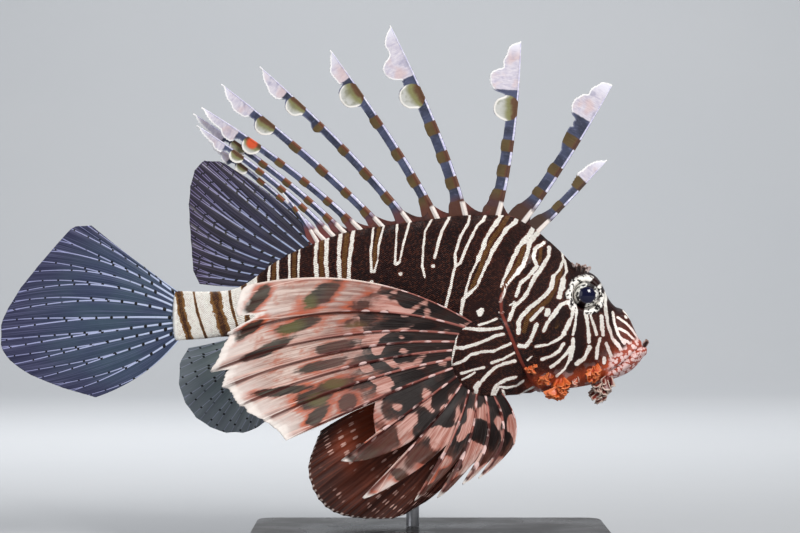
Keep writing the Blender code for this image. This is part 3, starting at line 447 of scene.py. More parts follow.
def skin_point(x, turn):
    """Points of the skin at stations x and turns from the back's ridge round the body's left side."""
    inner = np.clip(x, TAIL_END, SNOUT_END)
    top, bottom, wide, half = section(inner, -SKIN_DEPTH)
    side, up = np.sin(turn), np.cos(turn)
    power = np.where(up >= 0, ROUND_TOP, ROUND_BELOW)
    tall = np.where(up >= 0, top - wide, wide - bottom)
    past = np.where(x > SNOUT_END, (x - SNOUT_END) / (SNOUT_TIP - SNOUT_END), (TAIL_END - x) / TAIL_CAP)
    shrink = np.sqrt(np.clip(1.0 - np.clip(past, 0.0, 1.0) ** 2, 0.0, 1.0))
    y = shrink * half * np.sign(side) * abs(side) ** (2 / power)
    z = wide + shrink * tall * np.sign(up) * abs(up) ** (2 / power)
    out_y, out_z = y / half**2, (z - wide) / tall**2
    length = np.maximum(np.hypot(out_y, out_z), 1e-9)
    rise = head_relief(inner, y, z) * smooth_step(18.0, 30.0, inner) * shrink
    y, z = y + out_y / length * rise, z + out_z / length * rise
    r = np.hypot((x - LOBE_X) / LOBE_LONG, (z - LOBE_Z) / LOBE_TALL)
    lean = (z - LOBE_Z) * math.tan(math.radians(LOBE_LEAN))
    lobe = LOBE_Y - SKIN_DEPTH + lean + LOBE_THICK * np.sqrt(np.maximum(1 - r * r, 0))
    lobe = lobe - LOBE_SLOPE * np.maximum(r - 1, 0)
    flat = abs(y)
    widened = 0.5 * (flat + lobe + np.sqrt((flat - lobe) ** 2 + LOBE_BLEND)) - LOBE_SINK
    flat = np.where((r < LOBE_REACH) & (z < LOBE_Z + LOBE_TOP), np.maximum(flat, widened), flat)
    from_eye = np.hypot(x - EYE_X, z - EYE_Z)
    sunk = smooth_step(SOCKET_RIM, SOCKET_FLOOR, from_eye) * (flat > SOCKET_SIDE)
    flat = flat + (np.minimum(EYE_Y - SOCKET_DEPTH, flat) - flat) * sunk
    x = x - SNOUT_DRAWN_IN * smooth_step(SNOUT_FROM, SNOUT_TIP, x)
    return np.stack([x, np.where(side < 0, -flat, flat), z], axis=-1)


print("eye centre:", round(EYE_Y, 2), "mm from the middle plane")

# %% The skin itself, from a sphere
RINGS_TAIL, RINGS_TRUNK, RINGS_HEAD, RINGS_SNOUT = 5, 196, 100, 9
SKIN_TURNS = 300
HEAD_FROM = 52.0


def skin_stations():
    """The x of each ring, from the tail's pole to the snout's."""
    tail = TAIL_END - TAIL_CAP * np.cos(np.linspace(0, math.pi / 2, RINGS_TAIL + 1))
    trunk = np.linspace(TAIL_END, HEAD_FROM, RINGS_TRUNK + 1)[1:]
    head = np.linspace(HEAD_FROM, SNOUT_END, RINGS_HEAD + 1)[1:]
    reach = SNOUT_TIP - SNOUT_END
    snout = SNOUT_END + reach * np.sin(np.linspace(0, math.pi / 2, RINGS_SNOUT + 1))[1:]
    return np.concatenate([tail, trunk, head, snout])


def move_points(thing, points):
    """Sets every point of a mesh object, given in millimetres."""
    thing.data.vertices.foreach_set("co", (points * MM).astype(np.float32).ravel())
    thing.data.update()


def read_points(thing):
    """Every point of a mesh object, as Blender keeps it."""
    flat = np.empty(len(thing.data.vertices) * 3, np.float32)
    thing.data.vertices.foreach_get("co", flat)
    return flat.reshape(-1, 3).astype(float)


def face_outwards():
    """Turns every face of the active mesh to the outside."""
    bpy.ops.object.mode_set(mode="EDIT")
    bpy.ops.mesh.select_all(action="SELECT")
    bpy.ops.mesh.normals_make_consistent(inside=False)
    bpy.ops.object.mode_set(mode="OBJECT")


stations = skin_stations()
skin = added(bpy.ops.mesh.primitive_uv_sphere_add, "fish_skin", segments=SKIN_TURNS,
             ring_count=len(stations) - 1, radius=1.0)
sphere = read_points(skin)
ring = np.rint(np.arccos(np.clip(-sphere[:, 2], -1, 1)) / math.pi * (len(stations) - 1)).astype(int)
turn = np.arctan2(sphere[:, 1], sphere[:, 0])
skin_at = skin_point(stations[ring], turn)
move_points(skin, skin_at)
face_outwards()
bpy.ops.object.shade_smooth()
give(skin, markings(skin_at[:, 0], skin_at[:, 2]))
print("skin:", len(skin.data.vertices), "points,", 2 * len(skin.data.polygons), "triangles at most")

# %% [markdown]
# ## Scales
# A lionfish this long has small round-edged scales, well over a hundred in a row from gill to tail,
# and bare skin on the snout and round the eyes. A bump texture alone would look painted on at the
# outline, so each scale is a thin closed plate. There are tens of thousands, so one plate has only
# twelve faces: a cone on a base of six sides, pressed flat and drawn out into a scale's outline.
# Its front end is sunk and its rear edge stands proud, as scales overlap towards the tail. It is
# copied in staggered rings, smaller on the cheeks and at the tail's end, and takes the skin's
# markings at its own points. The eyes' surrounds, mouth, gill edge and brow stay bare.

# %% One scale
SCALE_LONG, SCALE_WIDE = 1.75, 1.12
SCALE_PITCH, SCALE_ROW = 1.24, 0.96
SCALE_FRONT, SCALE_REAR, SCALE_CROWN, SCALE_UNDER = -0.1, 0.17, 0.08, 0.16
SCALE_RIM = [(-0.4, 0.0), (-0.15, 0.42), (0.35, 0.46), (0.6, 0.0), (0.35, -0.46), (-0.15, -0.42)]
SCALES_END = 84.0
BARE_ROUND_EYE, BARE_AT_GILL, BARE_AT_MOUTH, BARE_BROW = 9.5, 1.3, 6.0, (66.0, 112.0)

scale = added(bpy.ops.mesh.primitive_cone_add, "scale_pattern", vertices=6, radius1=1.0, radius2=0.0,
              depth=1.0, end_fill_type="TRIFAN")
for vertex in scale.data.vertices:
    x, y, z = vertex.co
    if math.hypot(x, y) < 0.1:
        vertex.co = (0.0, 0.0, SCALE_CROWN if z > 0 else -SCALE_UNDER)
    else:
        along, across = SCALE_RIM[round((math.degrees(math.atan2(y, x)) - 90) / 60) % 6]
        vertex.co = (along * SCALE_LONG, across * SCALE_WIDE,
                     SCALE_FRONT + (SCALE_REAR - SCALE_FRONT) * (along + 0.4))
face_outwards()
scale_points = read_points(scale)
scale_faces = np.array([face.vertices for face in scale.data.polygons])
bpy.data.objects.remove(scale)
print("one scale:", len(scale_points), "points,", len(scale_faces), "triangles")

# %% Where the scales sit
def scale_sites():
    """(x, turn, size) of every scale, in staggered rings from the tail to the cheek."""
    rows = []
    x, odd = TAIL_END + 1.0, 0
    turns = np.linspace(0, 2 * math.pi, 361)
    while x < SCALES_END:
        size = 1.0 - 0.3 * float(smooth_step(38.0, 62.0, x)) - 0.15 * float(smooth_step(-80.0, -112.0, x))
        around = skin_point(np.full(len(turns), x), turns)
        length = np.concatenate([[0], np.cumsum(np.linalg.norm(np.diff(around, axis=0), axis=1))])
        count = int(length[-1] / (SCALE_ROW * size))
        places = (np.arange(count) + 0.5 * odd) * length[-1] / count
        rows.append(np.stack([np.full(count, x), np.interp(places, length, turns), np.full(count, size)]))
        x, odd = x + SCALE_PITCH * 0.5 * size, 1 - odd
    return np.concatenate(rows, axis=1)


chance = np.random.default_rng(7)
site_x, site_turn, site_size = scale_sites()
site = skin_point(site_x, site_turn)
along_x = skin_point(site_x + 0.3, site_turn) - skin_point(site_x - 0.3, site_turn)
round_it = skin_point(site_x, site_turn + 0.01) - skin_point(site_x, site_turn - 0.01)
outward = np.cross(round_it, along_x)
outward /= np.linalg.norm(outward, axis=1, keepdims=True)
backward = -along_x / np.linalg.norm(along_x, axis=1, keepdims=True)
sideways = np.cross(outward, backward)
side_x, side_z = site[:, 0], site[:, 2]
bare = np.hypot(side_x - EYE_X, side_z - EYE_Z) < BARE_ROUND_EYE
bare |= distance_to(GILL_EDGE, side_x, side_z) < BARE_AT_GILL
bare |= distance_to(MOUTH, side_x, side_z) < BARE_AT_MOUTH
bare |= (side_x > BARE_BROW[0]) & (side_z > BARE_BROW[1])
keep = ~bare
print("scales:", int(keep.sum()), "of", len(keep), "sites")

# %% Copy the scale to its sites
BAKE_MAP, BAKE_PATCH = "OFBake", 0.003


SCALE_YAW, SCALE_SIZES = 0.06, (0.93, 1.06)


def scale_piece(name, chosen):
    """One mesh of the chosen scales, with its markings and its place on the skin's unwrap."""
    count, each = int(chosen.sum()), len(scale_points)
    yaw = chance.normal(0.0, SCALE_YAW, count)[:, None]
    size = (site_size[chosen] * chance.uniform(*SCALE_SIZES, count))[:, None, None]
    back = backward[chosen] * np.cos(yaw) + sideways[chosen] * np.sin(yaw)
    side = np.cross(outward[chosen], back)
    a, b, c = (scale_points[None, :, axis, None] for axis in range(3))
    turned = a * back[:, None] + b * side[:, None] + c * outward[chosen][:, None]
    points = (site[chosen][:, None] + size * turned).reshape(-1, 3)
    faces = (scale_faces[None] + np.arange(count)[:, None, None] * each).reshape(-1, 3)
    mesh = bpy.data.meshes.new(name)
    mesh.from_pydata((points * MM).tolist(), [], faces.tolist())
    piece = bpy.data.objects.new(name, mesh)
    bpy.context.scene.collection.objects.link(piece)
    mesh.shade_smooth()
    root_u = (site_x[chosen] - TAIL_END + 3.0) / (SNOUT_TIP - TAIL_END + 6.0)
    root_v = (site_turn[chosen] / (2 * math.pi)) % 1.0
    patch = np.stack([scale_points[:, 0] / SCALE_LONG, scale_points[:, 1] / SCALE_WIDE], axis=1) * BAKE_PATCH
    places = (np.stack([root_u, root_v], axis=1)[:, None] * 0.99 + 0.005 + patch[None]).reshape(-1, 2)
    unwrap = mesh.uv_layers.new(name=BAKE_MAP)
    unwrap.data.foreach_set("uv", places[faces.ravel()].astype(np.float32).ravel())
    give(piece, markings(points[:, 0], points[:, 2]))
    rim = np.clip(scale_points[:, 0] / SCALE_LONG + 0.35, 0, 1)
    give(piece, {"scale_rim": np.tile(rim, count), "scale_tone": np.repeat(chance.random(count), each)})
    print(name, count, "scales,", len(faces), "triangles")
    return piece


# The cuts between pieces, so that no piece has more than about fifteen thousand scales.
SCALE_CUTS = {"tail": (-120.0, -52.0), "flank": (-52.0, -2.0), "shoulder": (-2.0, 38.0), "head": (38.0, 90.0)}
on_right = np.sin(site_turn) < 0
scale_pieces = []
for part, (first, last) in SCALE_CUTS.items():
    within = keep & (site_x >= first) & (site_x < last)
    scale_pieces += [scale_piece(f"scales_{part}_right", within & on_right),
                     scale_piece(f"scales_{part}_left", within & ~on_right)]

# %% [markdown]
# ## Materials from nodes
# Every finish is built from nodes, so it stays sharp at any distance. A small helper adds a node,
# sets its inputs and hands back its output, which keeps each recipe close to a sum on paper. Colours
# are given as a painter reads them from a chart, 0 to 255, and are turned to linear light. Three
# effects come back in several materials and are node groups: the wet, finely pitted surface of
# fish skin, the branching rays of a fin, and beads or dashes along a line. Most colours are laid one
# over another, each where a mask or noise passes two values, so that has a helper too, shade.

# %% Node helper
def paint(red, green, blue):
    """Chart colour, 0 to 255, as linear light."""
    return tuple(((value / 255 + 0.055) / 1.055) ** 2.4 for value in (red, green, blue)) + (1.0,)


class Recipe:
    """Adds nodes to one node tree. An input may be a number or another node's output."""

    def __init__(self, tree):
        self.tree = tree

    def node(self, kind, inputs=(), output=0, **settings):
        """Adds a node, sets or links its inputs and hands back one output."""
        made = self.tree.nodes.new(kind)
        for name, value in settings.items():
            setattr(made, name, value)
        for socket, value in dict(inputs).items():
            if isinstance(value, bpy.types.NodeSocket):
                self.tree.links.new(value, made.inputs[socket])
            elif value is not None:
                made.inputs[socket].default_value = value
        return made.outputs[output]

    def group(self, tree, inputs, output=0):
        return self.node("ShaderNodeGroup", inputs, output, node_tree=tree)

    def math(self, operation, a, b=None):
        return self.node("ShaderNodeMath", {0: a, 1: b}, operation=operation)

    def times(self, a, b):
        return self.math("MULTIPLY", a, b)

    def plus(self, a, b):
        return self.math("ADD", a, b)

    def minus(self, a, b):
        return self.math("SUBTRACT", a, b)

    def step(self, value, low, high):
        """0 where value is at low and 1 where it is at high, with a soft slope; low may be above high."""
        if isinstance(low, (int, float)) and isinstance(high, (int, float)) and low > high:
            return self.minus(1.0, self.step(value, high, low))
        return self.node("ShaderNodeMapRange", {0: value, 1: low, 2: high}, interpolation_type="SMOOTHSTEP")

    def sway(self, value, amount):
        """A value of 0 to 1 as a swing of that amount to either side of nought."""
        return self.times(self.minus(value, 0.5), amount)

    def between(self, share, low, high):
        """The number at that share of the way from low to high."""
        return self.node("ShaderNodeMapRange", {0: share, 3: low, 4: high})

    def mix(self, share, a, b):
        """The colour at that share of the way from a to b. Either may be a colour off the chart."""
        a, b = (paint(*colour) if isinstance(colour, tuple) else colour for colour in (a, b))
        return self.node("ShaderNodeMix", {0: share, 6: a, 7: b}, 2, data_type="RGBA")

    def shade(self, value, low, high, a, b, strength=None):
        """Colour a where value is at low and b where it is at high, no stronger than strength."""
        share = self.step(value, low, high)
        return self.mix(share if strength is None else self.times(share, strength), a, b)

    def own(self, name):
        """The number kept on the mesh under that name."""
        return self.node("ShaderNodeAttribute", output=2, attribute_name=name)

    def place(self):
        return self.node("ShaderNodeTexCoord", output=3)

    def noise(self, scale, detail=2.0, rough=0.5, at=None):
        vector = self.place() if at is None else at
        return self.node("ShaderNodeTexNoise",
                         {"Vector": vector, "Scale": scale, "Detail": detail, "Roughness": rough})

    def cells(self, scale):
        return self.node("ShaderNodeTexVoronoi", {"Vector": self.place(), "Scale": scale}, feature="F1")

    def at(self, x, y):
        return self.node("ShaderNodeCombineXYZ", {0: x, 1: y})


def new_group(name, inputs, outputs):
    """An empty node group with named numbers in and out. It hands back its Recipe, inputs and exit."""
    tree = bpy.data.node_groups.new(name, "ShaderNodeTree")
    for label, value in inputs.items():
        tree.interface.new_socket(label, in_out="INPUT", socket_type="NodeSocketFloat").default_value = value
    for label in outputs:
        tree.interface.new_socket(label, in_out="OUTPUT", socket_type="NodeSocketFloat")
    entry = tree.nodes.new("NodeGroupInput")
    leave = tree.nodes.new("NodeGroupOutput")
    return Recipe(tree), {label: entry.outputs[label] for label in inputs}, leave


def new_material(name, colour, rough, metal=0.0, height=None, bump_depth=0.0002, alpha=None, shine=None,
                 **fixed):
    """A Principled material. A function builds each changing value, fixed ones go on its own sockets."""
    made = bpy.data.materials.new(name)
    made.use_nodes = True
    recipe = Recipe(made.node_tree)
    shader = made.node_tree.nodes["Principled BSDF"]
    for socket, maker in (("Base Color", colour), ("Roughness", rough), ("Alpha", alpha),
                          ("Coat Weight", shine)):
        if callable(maker):
            made.node_tree.links.new(maker(recipe), shader.inputs[socket])
        elif maker is not None:
            shader.inputs[socket].default_value = maker
    shader.inputs["Metallic"].default_value = metal
    for socket, value in fixed.items():
        shader.inputs[socket.replace("_", " ")].default_value = value
    if height:
        normal = recipe.node("ShaderNodeBump",
                             {"Height": height(recipe), "Distance": bump_depth, "Strength": 0.9})
        made.node_tree.links.new(normal, shader.inputs["Normal"])
    return made


print("paint of a mid grey:", [round(value, 3) for value in paint(128, 128, 128)])

# %% Shared effects
r, grain_in, grain_out = new_group("wet skin grain", {"Scale": 900.0, "Amount": 1.0}, ["Height", "Gloss"])
fine = r.noise(grain_in["Scale"], 3.0, 0.6)
pits = r.cells(r.times(grain_in["Scale"], 0.7))
height = r.plus(r.times(fine, 0.6), r.times(pits, 0.4))
broad = r.noise(r.times(grain_in["Scale"], 0.06), 2.0)
r.tree.links.new(r.times(height, grain_in["Amount"]), grain_out.inputs["Height"])
r.tree.links.new(r.step(broad, 0.3, 0.7), grain_out.inputs["Gloss"])
wet_grain = r.tree

ray_inputs = {"Ray": 0.0, "Reach": 0.0, "Gap": 5.0, "First fork": 0.4, "Second fork": 0.75, "Root width": 0.6,
              "Tip width": 0.28, "Spread": 0.25}
r, ray_in, ray_out = new_group("branching rays", ray_inputs, ["Line", "Across", "Number"])
nearest = r.math("ROUND", ray_in["Ray"])
signed = r.minus(ray_in["Ray"], nearest)
vary = r.times(r.plus(r.math("SINE", r.times(nearest, 2.4)), 1.0), 0.08)
forked = r.step(ray_in["Reach"], r.plus(ray_in["First fork"], vary), 1.08)
off = r.minus(r.math("ABSOLUTE", signed), r.times(forked, ray_in["Spread"]))
forked_again = r.step(ray_in["Reach"], r.plus(ray_in["Second fork"], vary), 1.15)
second = r.times(forked_again, r.times(ray_in["Spread"], 0.46))
branch = r.times(r.times(r.math("SIGN", signed), r.step(forked, 0.02, 0.1)), 0.19)
twig = r.times(r.times(r.math("SIGN", off), r.step(forked_again, 0.02, 0.1)), 0.11)
off = r.math("ABSOLUTE", r.minus(r.math("ABSOLUTE", off), second))
across = r.times(off, ray_in["Gap"])
width = r.node("ShaderNodeMapRange",
               {0: ray_in["Reach"], 1: 0.0, 2: 1.0, 3: ray_in["Root width"], 4: ray_in["Tip width"]})
edge = r.math("DIVIDE", across, width)
r.tree.links.new(r.step(edge, 1.25, 0.75), ray_out.inputs["Line"])
r.tree.links.new(across, ray_out.inputs["Across"])
r.tree.links.new(r.plus(nearest, r.plus(branch, twig)), ray_out.inputs["Number"])
branching_rays = r.tree

r, bead_in, bead_out = new_group("beads on a line", {"Along": 0.0, "Across": 0.0, "Pitch": 7.0, "Shift": 0.0,
                                                     "Long": 1.0, "Wide": 0.8}, ["Bead"])
turns = r.plus(r.math("DIVIDE", bead_in["Along"], bead_in["Pitch"]), bead_in["Shift"])
offset = r.sway(r.math("FRACT", turns), bead_in["Pitch"])
ahead = r.math("POWER", r.math("DIVIDE", offset, bead_in["Long"]), 2.0)
beside = r.math("POWER", r.math("DIVIDE", bead_in["Across"], bead_in["Wide"]), 2.0)
r.tree.links.new(r.step(r.plus(ahead, beside), 1.35, 0.7), bead_out.inputs["Bead"])
beads = r.tree
print("shared effects:", [tree.name for tree in (wet_grain, branching_rays, beads)])

# %% [markdown]
# ## Finish of the skin
# The ground is a very dark maroon on the trunk and a redder brown on the head, each scale slightly
# different and a little lighter at its rear edge. The white lines get a wavering edge from a fine
# noise, with a thin red-brown seam beside them, which is ochre on the tail. Between the lines of a
# pair the brown is ochre. The jaw is orange and the gill cover's free edge a dull red. The lips are
# netted in dark red, and the skin round the eye is white with black flecks. A thin coat over it all
# makes the skin look a little wet.

# %% Skin and scale material
def skin_colour(n):
    waver = n.plus(n.sway(n.noise(1300.0, 2.0), 0.85), n.sway(n.noise(240.0, 1.0), 1.1))
    white_at = n.plus(n.own("white"), waver)
    white = n.step(white_at, 0.98, 0.78)
    seam = n.times(n.step(white_at, 1.7, 1.1), 0.6)
    broad, speck = n.noise(70.0, 3.0), n.noise(620.0, 2.0, 0.7)
    head = n.own("rosy")
    dark = n.shade(broad, 0.3, 0.75, (26, 12, 13), (44, 20, 18))
    fleck = n.step(n.plus(n.own("scale_tone"), n.sway(speck, 0.5)), 0.5, 1.0)
    ground = n.mix(n.times(fleck, 0.4), dark, (104, 58, 42))
    seamed = n.mix(n.times(fleck, 0.4), (104, 68, 34), (152, 110, 60))
    ground = n.shade(n.own("ochre"), 1.2, 0.6, ground, seamed, 0.8)
    ground = n.shade(n.own("scale_rim"), 0.7, 1.0, ground, (132, 84, 62), 0.15)
    rosy = n.shade(speck, 0.3, 0.7, (88, 34, 26), (132, 58, 42))
    ground = n.mix(n.times(head, 0.8), ground, rosy)
    chin = n.shade(broad, 0.4, 0.6, (150, 52, 32), (208, 90, 50))
    chin = n.shade(n.noise(190.0, 2.0), 0.56, 0.62, chin, (226, 180, 176))
    ground = n.mix(n.times(n.own("jaw"), 0.8), ground, chin)
    ground = n.mix(n.times(n.own("tail"), 0.65), ground, n.mix(fleck, (86, 56, 42), (124, 88, 54)))
    ground = n.mix(seam, ground, n.mix(n.own("tail"), (104, 46, 28), (168, 122, 66)))
    ground = n.shade(n.own("dark"), 1.1, 0.85, ground, dark, 0.8)
    pale = n.mix(n.times(head, 0.6), (250, 247, 240), (240, 206, 204))
    pale = n.shade(speck, 0.46, 0.66, pale, (198, 174, 160), 0.32)
    coloured = n.mix(white, ground, pale)
    # The lips and the tip of the snout are netted: pale beads between dark red lines.
    bead = n.step(n.cells(600.0), 0.6, 0.48)
    netted = n.mix(bead, (164, 74, 56), n.mix(speck, (218, 176, 170), (242, 214, 212)))
    coloured = n.mix(n.own("lips"), coloured, netted)
    # Round the eye the skin is white with black flecks, and the dark bar of the face runs through it.
    flecked = n.shade(n.plus(n.noise(430.0, 2.0, 0.6), n.sway(broad, 0.2)), 0.5, 0.56, (244, 240, 234),
                      (22, 12, 14))
    patch = n.step(n.plus(n.own("eyeward"), n.sway(n.noise(330.0, 2.0), 4.5)), 9.6, 8.4)
    patch = n.times(patch, n.step(n.own("dark"), 0.8, 1.1))
    coloured = n.mix(patch, coloured, flecked)
    gill = n.step(n.plus(n.own("gill_edge"), n.times(waver, 0.3)), 0.95, 0.35)
    return n.mix(n.times(gill, 0.75), coloured, n.mix(speck, (104, 36, 28), (158, 74, 58)))


def skin_rough(n):
    gloss = n.group(wet_grain, {"Scale": 900.0}, 1)
    return n.between(gloss, 0.34, 0.52)


def skin_height(n):
    folds = n.noise(260.0, 3.0, 0.6)
    return n.plus(n.group(wet_grain, {"Scale": 1100.0, "Amount": 0.5}), folds)


skin_material = new_material("scaled fish skin", skin_colour, skin_rough, height=skin_height,
                             bump_depth=0.00025, shine=0.07, Coat_Roughness=0.22, Specular_IOR_Level=0.2)
for piece in [skin, *scale_pieces]:
    piece.data.materials.append(skin_material)
    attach(piece, "root")
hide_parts("head", "trunk", "tail")
print("skin and scales share:", skin_material.name)

# %% [markdown]
# ## Fins
# A fin is a fold of thin skin over bony rays that fork towards the rim. Each fin here is a grid laid
# over its rays and given two faces by a Solidify modifier. The two faces are then set a little
# further apart along every ray and its forks, so the rays are real relief on both sides. The skin
# of most fins swells softly from ray to ray. On the pectoral fins it rises and then drops in a sharp
# pleat at the next ray, as on a fin that is not quite spread. One column of the grid lies just past
# each ray, so a pleat or a slit there stays sharp.
# Each point keeps its ray number, its share of the way to the rim, the gap to the next ray and its
# length along the ray in millimetres. The materials draw rays, dots and bands from these numbers,
# so their pattern follows the fin however it bends.

# %% Rays of a fin
MEMBRANE_HALF = 0.11
PAST_RAY = 0.04
FORK_LONG = 0.42


def spread(first, last, count):
    return np.linspace(first, last, count)


def bowed(root, tip, bow):
    """The root, middle and tip of a ray that bows sideways in the fin by bow."""
    root, tip = np.array(root, float), np.array(tip, float)
    along = tip - root
    side = np.array([along[2], 0.0, -along[0]])
    return root, (root + tip) / 2 + side / np.linalg.norm(side) * 2 * bow, tip


def more_rays(rays, count):
    """The same fan with count rays, set between the given ones on a smooth curve."""
    at = spread(0, len(rays) - 1, count)
    points = np.array(rays)
    read = [[read_table(list(enumerate(points[:, k, axis])), at) for axis in range(3)] for k in range(3)]
    return [tuple(np.array([read[k][axis][i] for axis in range(3)]) for k in range(3)) for i in range(count)]


def on_rays(rays, i, t):
    """Points at share t along the rays numbered i."""
    root, middle, tip = (np.array([ray[k] for ray in rays])[i] for k in range(3))
    t = t[..., None]
    return root * (1 - t) ** 2 + middle * 2 * t * (1 - t) + tip * t * t


def ray_edge(ray, reach, gap, fork, second_fork, root_width, tip_width):
    """Distance to the nearest ray or fork as a share of its half width, much as the node group has it."""
    nearest = np.rint(ray)
    vary = (np.sin(nearest * 2.4) + 1.0) * 0.06
    off = abs(ray - nearest)
    for start, apart in ((fork + vary, 0.25), (second_fork + vary, 0.125)):
        off = abs(off - smooth_step(start, start + FORK_LONG, reach) * apart)
    return off * gap / (root_width + (tip_width - root_width) * reach)


# %% Surface of a fin
def flat_grid(name, rows, columns):
    """A grid of rows along its y and columns along its x, and its points' shares of both ways."""
    piece = added(bpy.ops.mesh.primitive_grid_add, name, x_subdivisions=columns, y_subdivisions=rows,
                  size=1.0)
    at = (read_points(piece) + 0.5).reshape(rows + 1, columns + 1, 3)
    return piece, at[..., 0], at[..., 1]


def outward_of(middle):
    """The direction across a sheet of points in rows and columns."""
    normals = np.cross(np.gradient(middle, axis=1), np.gradient(middle, axis=0))
    return normals / np.maximum(np.linalg.norm(normals, axis=2, keepdims=True), 1e-9)


def two_faces(piece, middle, half):
    """Gives a grid a thickness of twice half, which may differ from point to point, with a closed rim."""
    move_points(piece, middle.reshape(-1, 3))
    solid = piece.modifiers.new("thickness", "SOLIDIFY")
    solid.thickness = 0.2 * MM
    bpy.context.view_layer.objects.active = piece
    bpy.ops.object.modifier_apply(modifier=solid.name)
    offset = (outward_of(middle) * half[..., None]).reshape(-1, 3)
    middle = middle.reshape(-1, 3)
    move_points(piece, np.concatenate([middle + offset, middle - offset]))
    piece.data.shade_smooth()
    piece.select_set(False)


def give_both(piece, values):
    """Keeps grids of numbers as attributes of both faces of a piece."""
    give(piece, {name: np.tile(numbers.ravel(), 2) for name, numbers in values.items()})


def scalloped(depth):
    """A rim drawn in a little between every two rays."""
    def margin(i, f):
        return 1 - depth * (1 - abs(2 * f - 1) ** 2)
    return margin


# Each wave of a frilled rim: its share, its turns from ray to ray and its turns towards the rim.
FRILL_WAVES = [(1.0, 5.3, 9.0), (0.6, 11.7, -5.0)]
RAY_TAPER, RAY_FADE = 0.65, (1.5, 0.3)


def fin(name, rays, margin, per_gap, rows, look, fold, frill=0.0, relief=0.3, pleat=1.0, smooth=1):
    """A fin over its rays, out to its margin. look holds the forks and widths that its material uses."""
    gaps = len(rays) - 1
    guides = more_rays(rays, smooth * gaps + 1) if smooth > 1 else rays
    piece, _, t = flat_grid(name, rows, per_gap * gaps)
    shares = np.concatenate([[0.0], spread(PAST_RAY, 1.0 - PAST_RAY, per_gap - 1)])
    ray = np.append((np.arange(gaps)[:, None] + shares).ravel(), gaps) + 0 * t
    i = np.clip(np.floor(ray + 1e-6).astype(int), 0, gaps - 1)
    f = np.clip(ray - i, 0.0, 1.0)
    on_ray = (f < PAST_RAY / 2) & (i > 0)
    reach = t * np.where(on_ray, np.maximum(margin(i, f), margin(i - 1, 1.0 + 0 * f)), margin(i, f))
    j = np.clip(np.floor(ray * smooth + 1e-6).astype(int), 0, gaps * smooth - 1)
    left, right = on_rays(guides, j, reach), on_rays(guides, j + 1, reach)
    middle = left + (right - left) * (ray * smooth - j)[..., None]
    gap = np.linalg.norm(right - left, axis=2) * smooth
    tooth = np.where(on_ray, 1.0, f) - 0.5
    wave = pleat * tooth + (1 - pleat) * 0.5 * np.cos(2 * math.pi * ray)
    ruffle = sum(share * np.sin(ray * across + outwards * t) for share, across, outwards in FRILL_WAVES)
    lift = fold * wave * smooth_step(0.08, 0.5, t) + frill * ruffle * smooth_step(0.78, 1.0, t)
    middle = middle + outward_of(middle) * lift[..., None]
    edge = ray_edge(ray, reach, gap, *look)
    half = MEMBRANE_HALF + relief * (1 - RAY_TAPER * t) * smooth_step(*RAY_FADE, edge)
    two_faces(piece, middle, half)
    steps = np.linalg.norm(np.diff(middle, axis=0), axis=2)
    along = np.concatenate([np.zeros((1, steps.shape[1])), np.cumsum(steps, axis=0)])
    give_both(piece, {"ray": ray, "reach": reach, "gap": gap, "along": along, "share": t, "between": f})
    print(name, len(piece.data.polygons), "faces")
    return piece


# %% [markdown]
# ## Tail fin, soft dorsal fin and anal fin
# These three stand in the middle plane. Their rays start inside the body, a few millimetres under
# the skin, so that no gap shows at the root. The tips are the solids' own tips.

# %% The three fins in the middle plane
SOFT_DORSAL_ROOT = (-49.5, -83.5)
SOFT_DORSAL_TIPS = [(-89.5, 174.0), (-97.3, 178.7), (-104.2, 179.1), (-108.8, 174.5), (-110.8, 167.3),
                    (-111.5, 159.0), (-111.2, 150.5), (-110.6, 142.5), (-110.0, 135.0), (-109.3, 128.0),
                    (-106.5, 122.1)]
SOFT_DORSAL_BOWS = (2.6, 1.0, -0.3, -1.2, -1.8, -2.2, -2.2, -1.8, -1.3, -0.8, -0.3)
CAUDAL_TIPS = [(-156.5, 149.1), (-163.8, 148.7), (-172.8, 140.1), (-181.4, 130.1), (-189.0, 120.5),
               (-194.6, 111.5), (-198.2, 103.1), (-198.4, 94.3), (-194.0, 86.7), (-184.5, 80.1),
               (-169.6, 74.1), (-154.6, 69.7)]
CAUDAL_BOWS = (-0.5, 1.0, 3.0, 5.0, 6.4, 5.0, 1.5, 0.0, -0.5, -1.8, -3.4, -3.5)
ANAL_ROOT = (-56.5, -86.5)
ANAL_TIPS = [(-70.5, 70.0), (-74.0, 61.0), (-79.5, 56.0), (-86.5, 53.3), (-94.0, 53.3), (-101.5, 55.9),
             (-108.0, 60.3), (-113.0, 67.1), (-116.0, 76.0), (-115.6, 85.1), (-111.6, 92.5)]
ANAL_BOWS = (1.5, 1.3, 1.1, 0.9, 0.7, 0.5, 0.3, 0.1, -0.1, -0.3, -0.5)
# Where forks start, as shares of the way to the rim, then half widths of a ray at root and rim.
CAUDAL_LOOK = (0.22, 0.85, 0.48, 0.2)
DORSAL_LOOK = (0.12, 0.42, 0.42, 0.16)
ANAL_LOOK = (0.2, 0.9, 0.18, 0.14)


def middle_rays(roots, tips, bows):
    """Rays in the middle plane from the roots to the tips, each with its own bow."""
    return [bowed(root, (x, 0.0, z), bow) for root, (x, z), bow in zip(roots, tips, bows)]


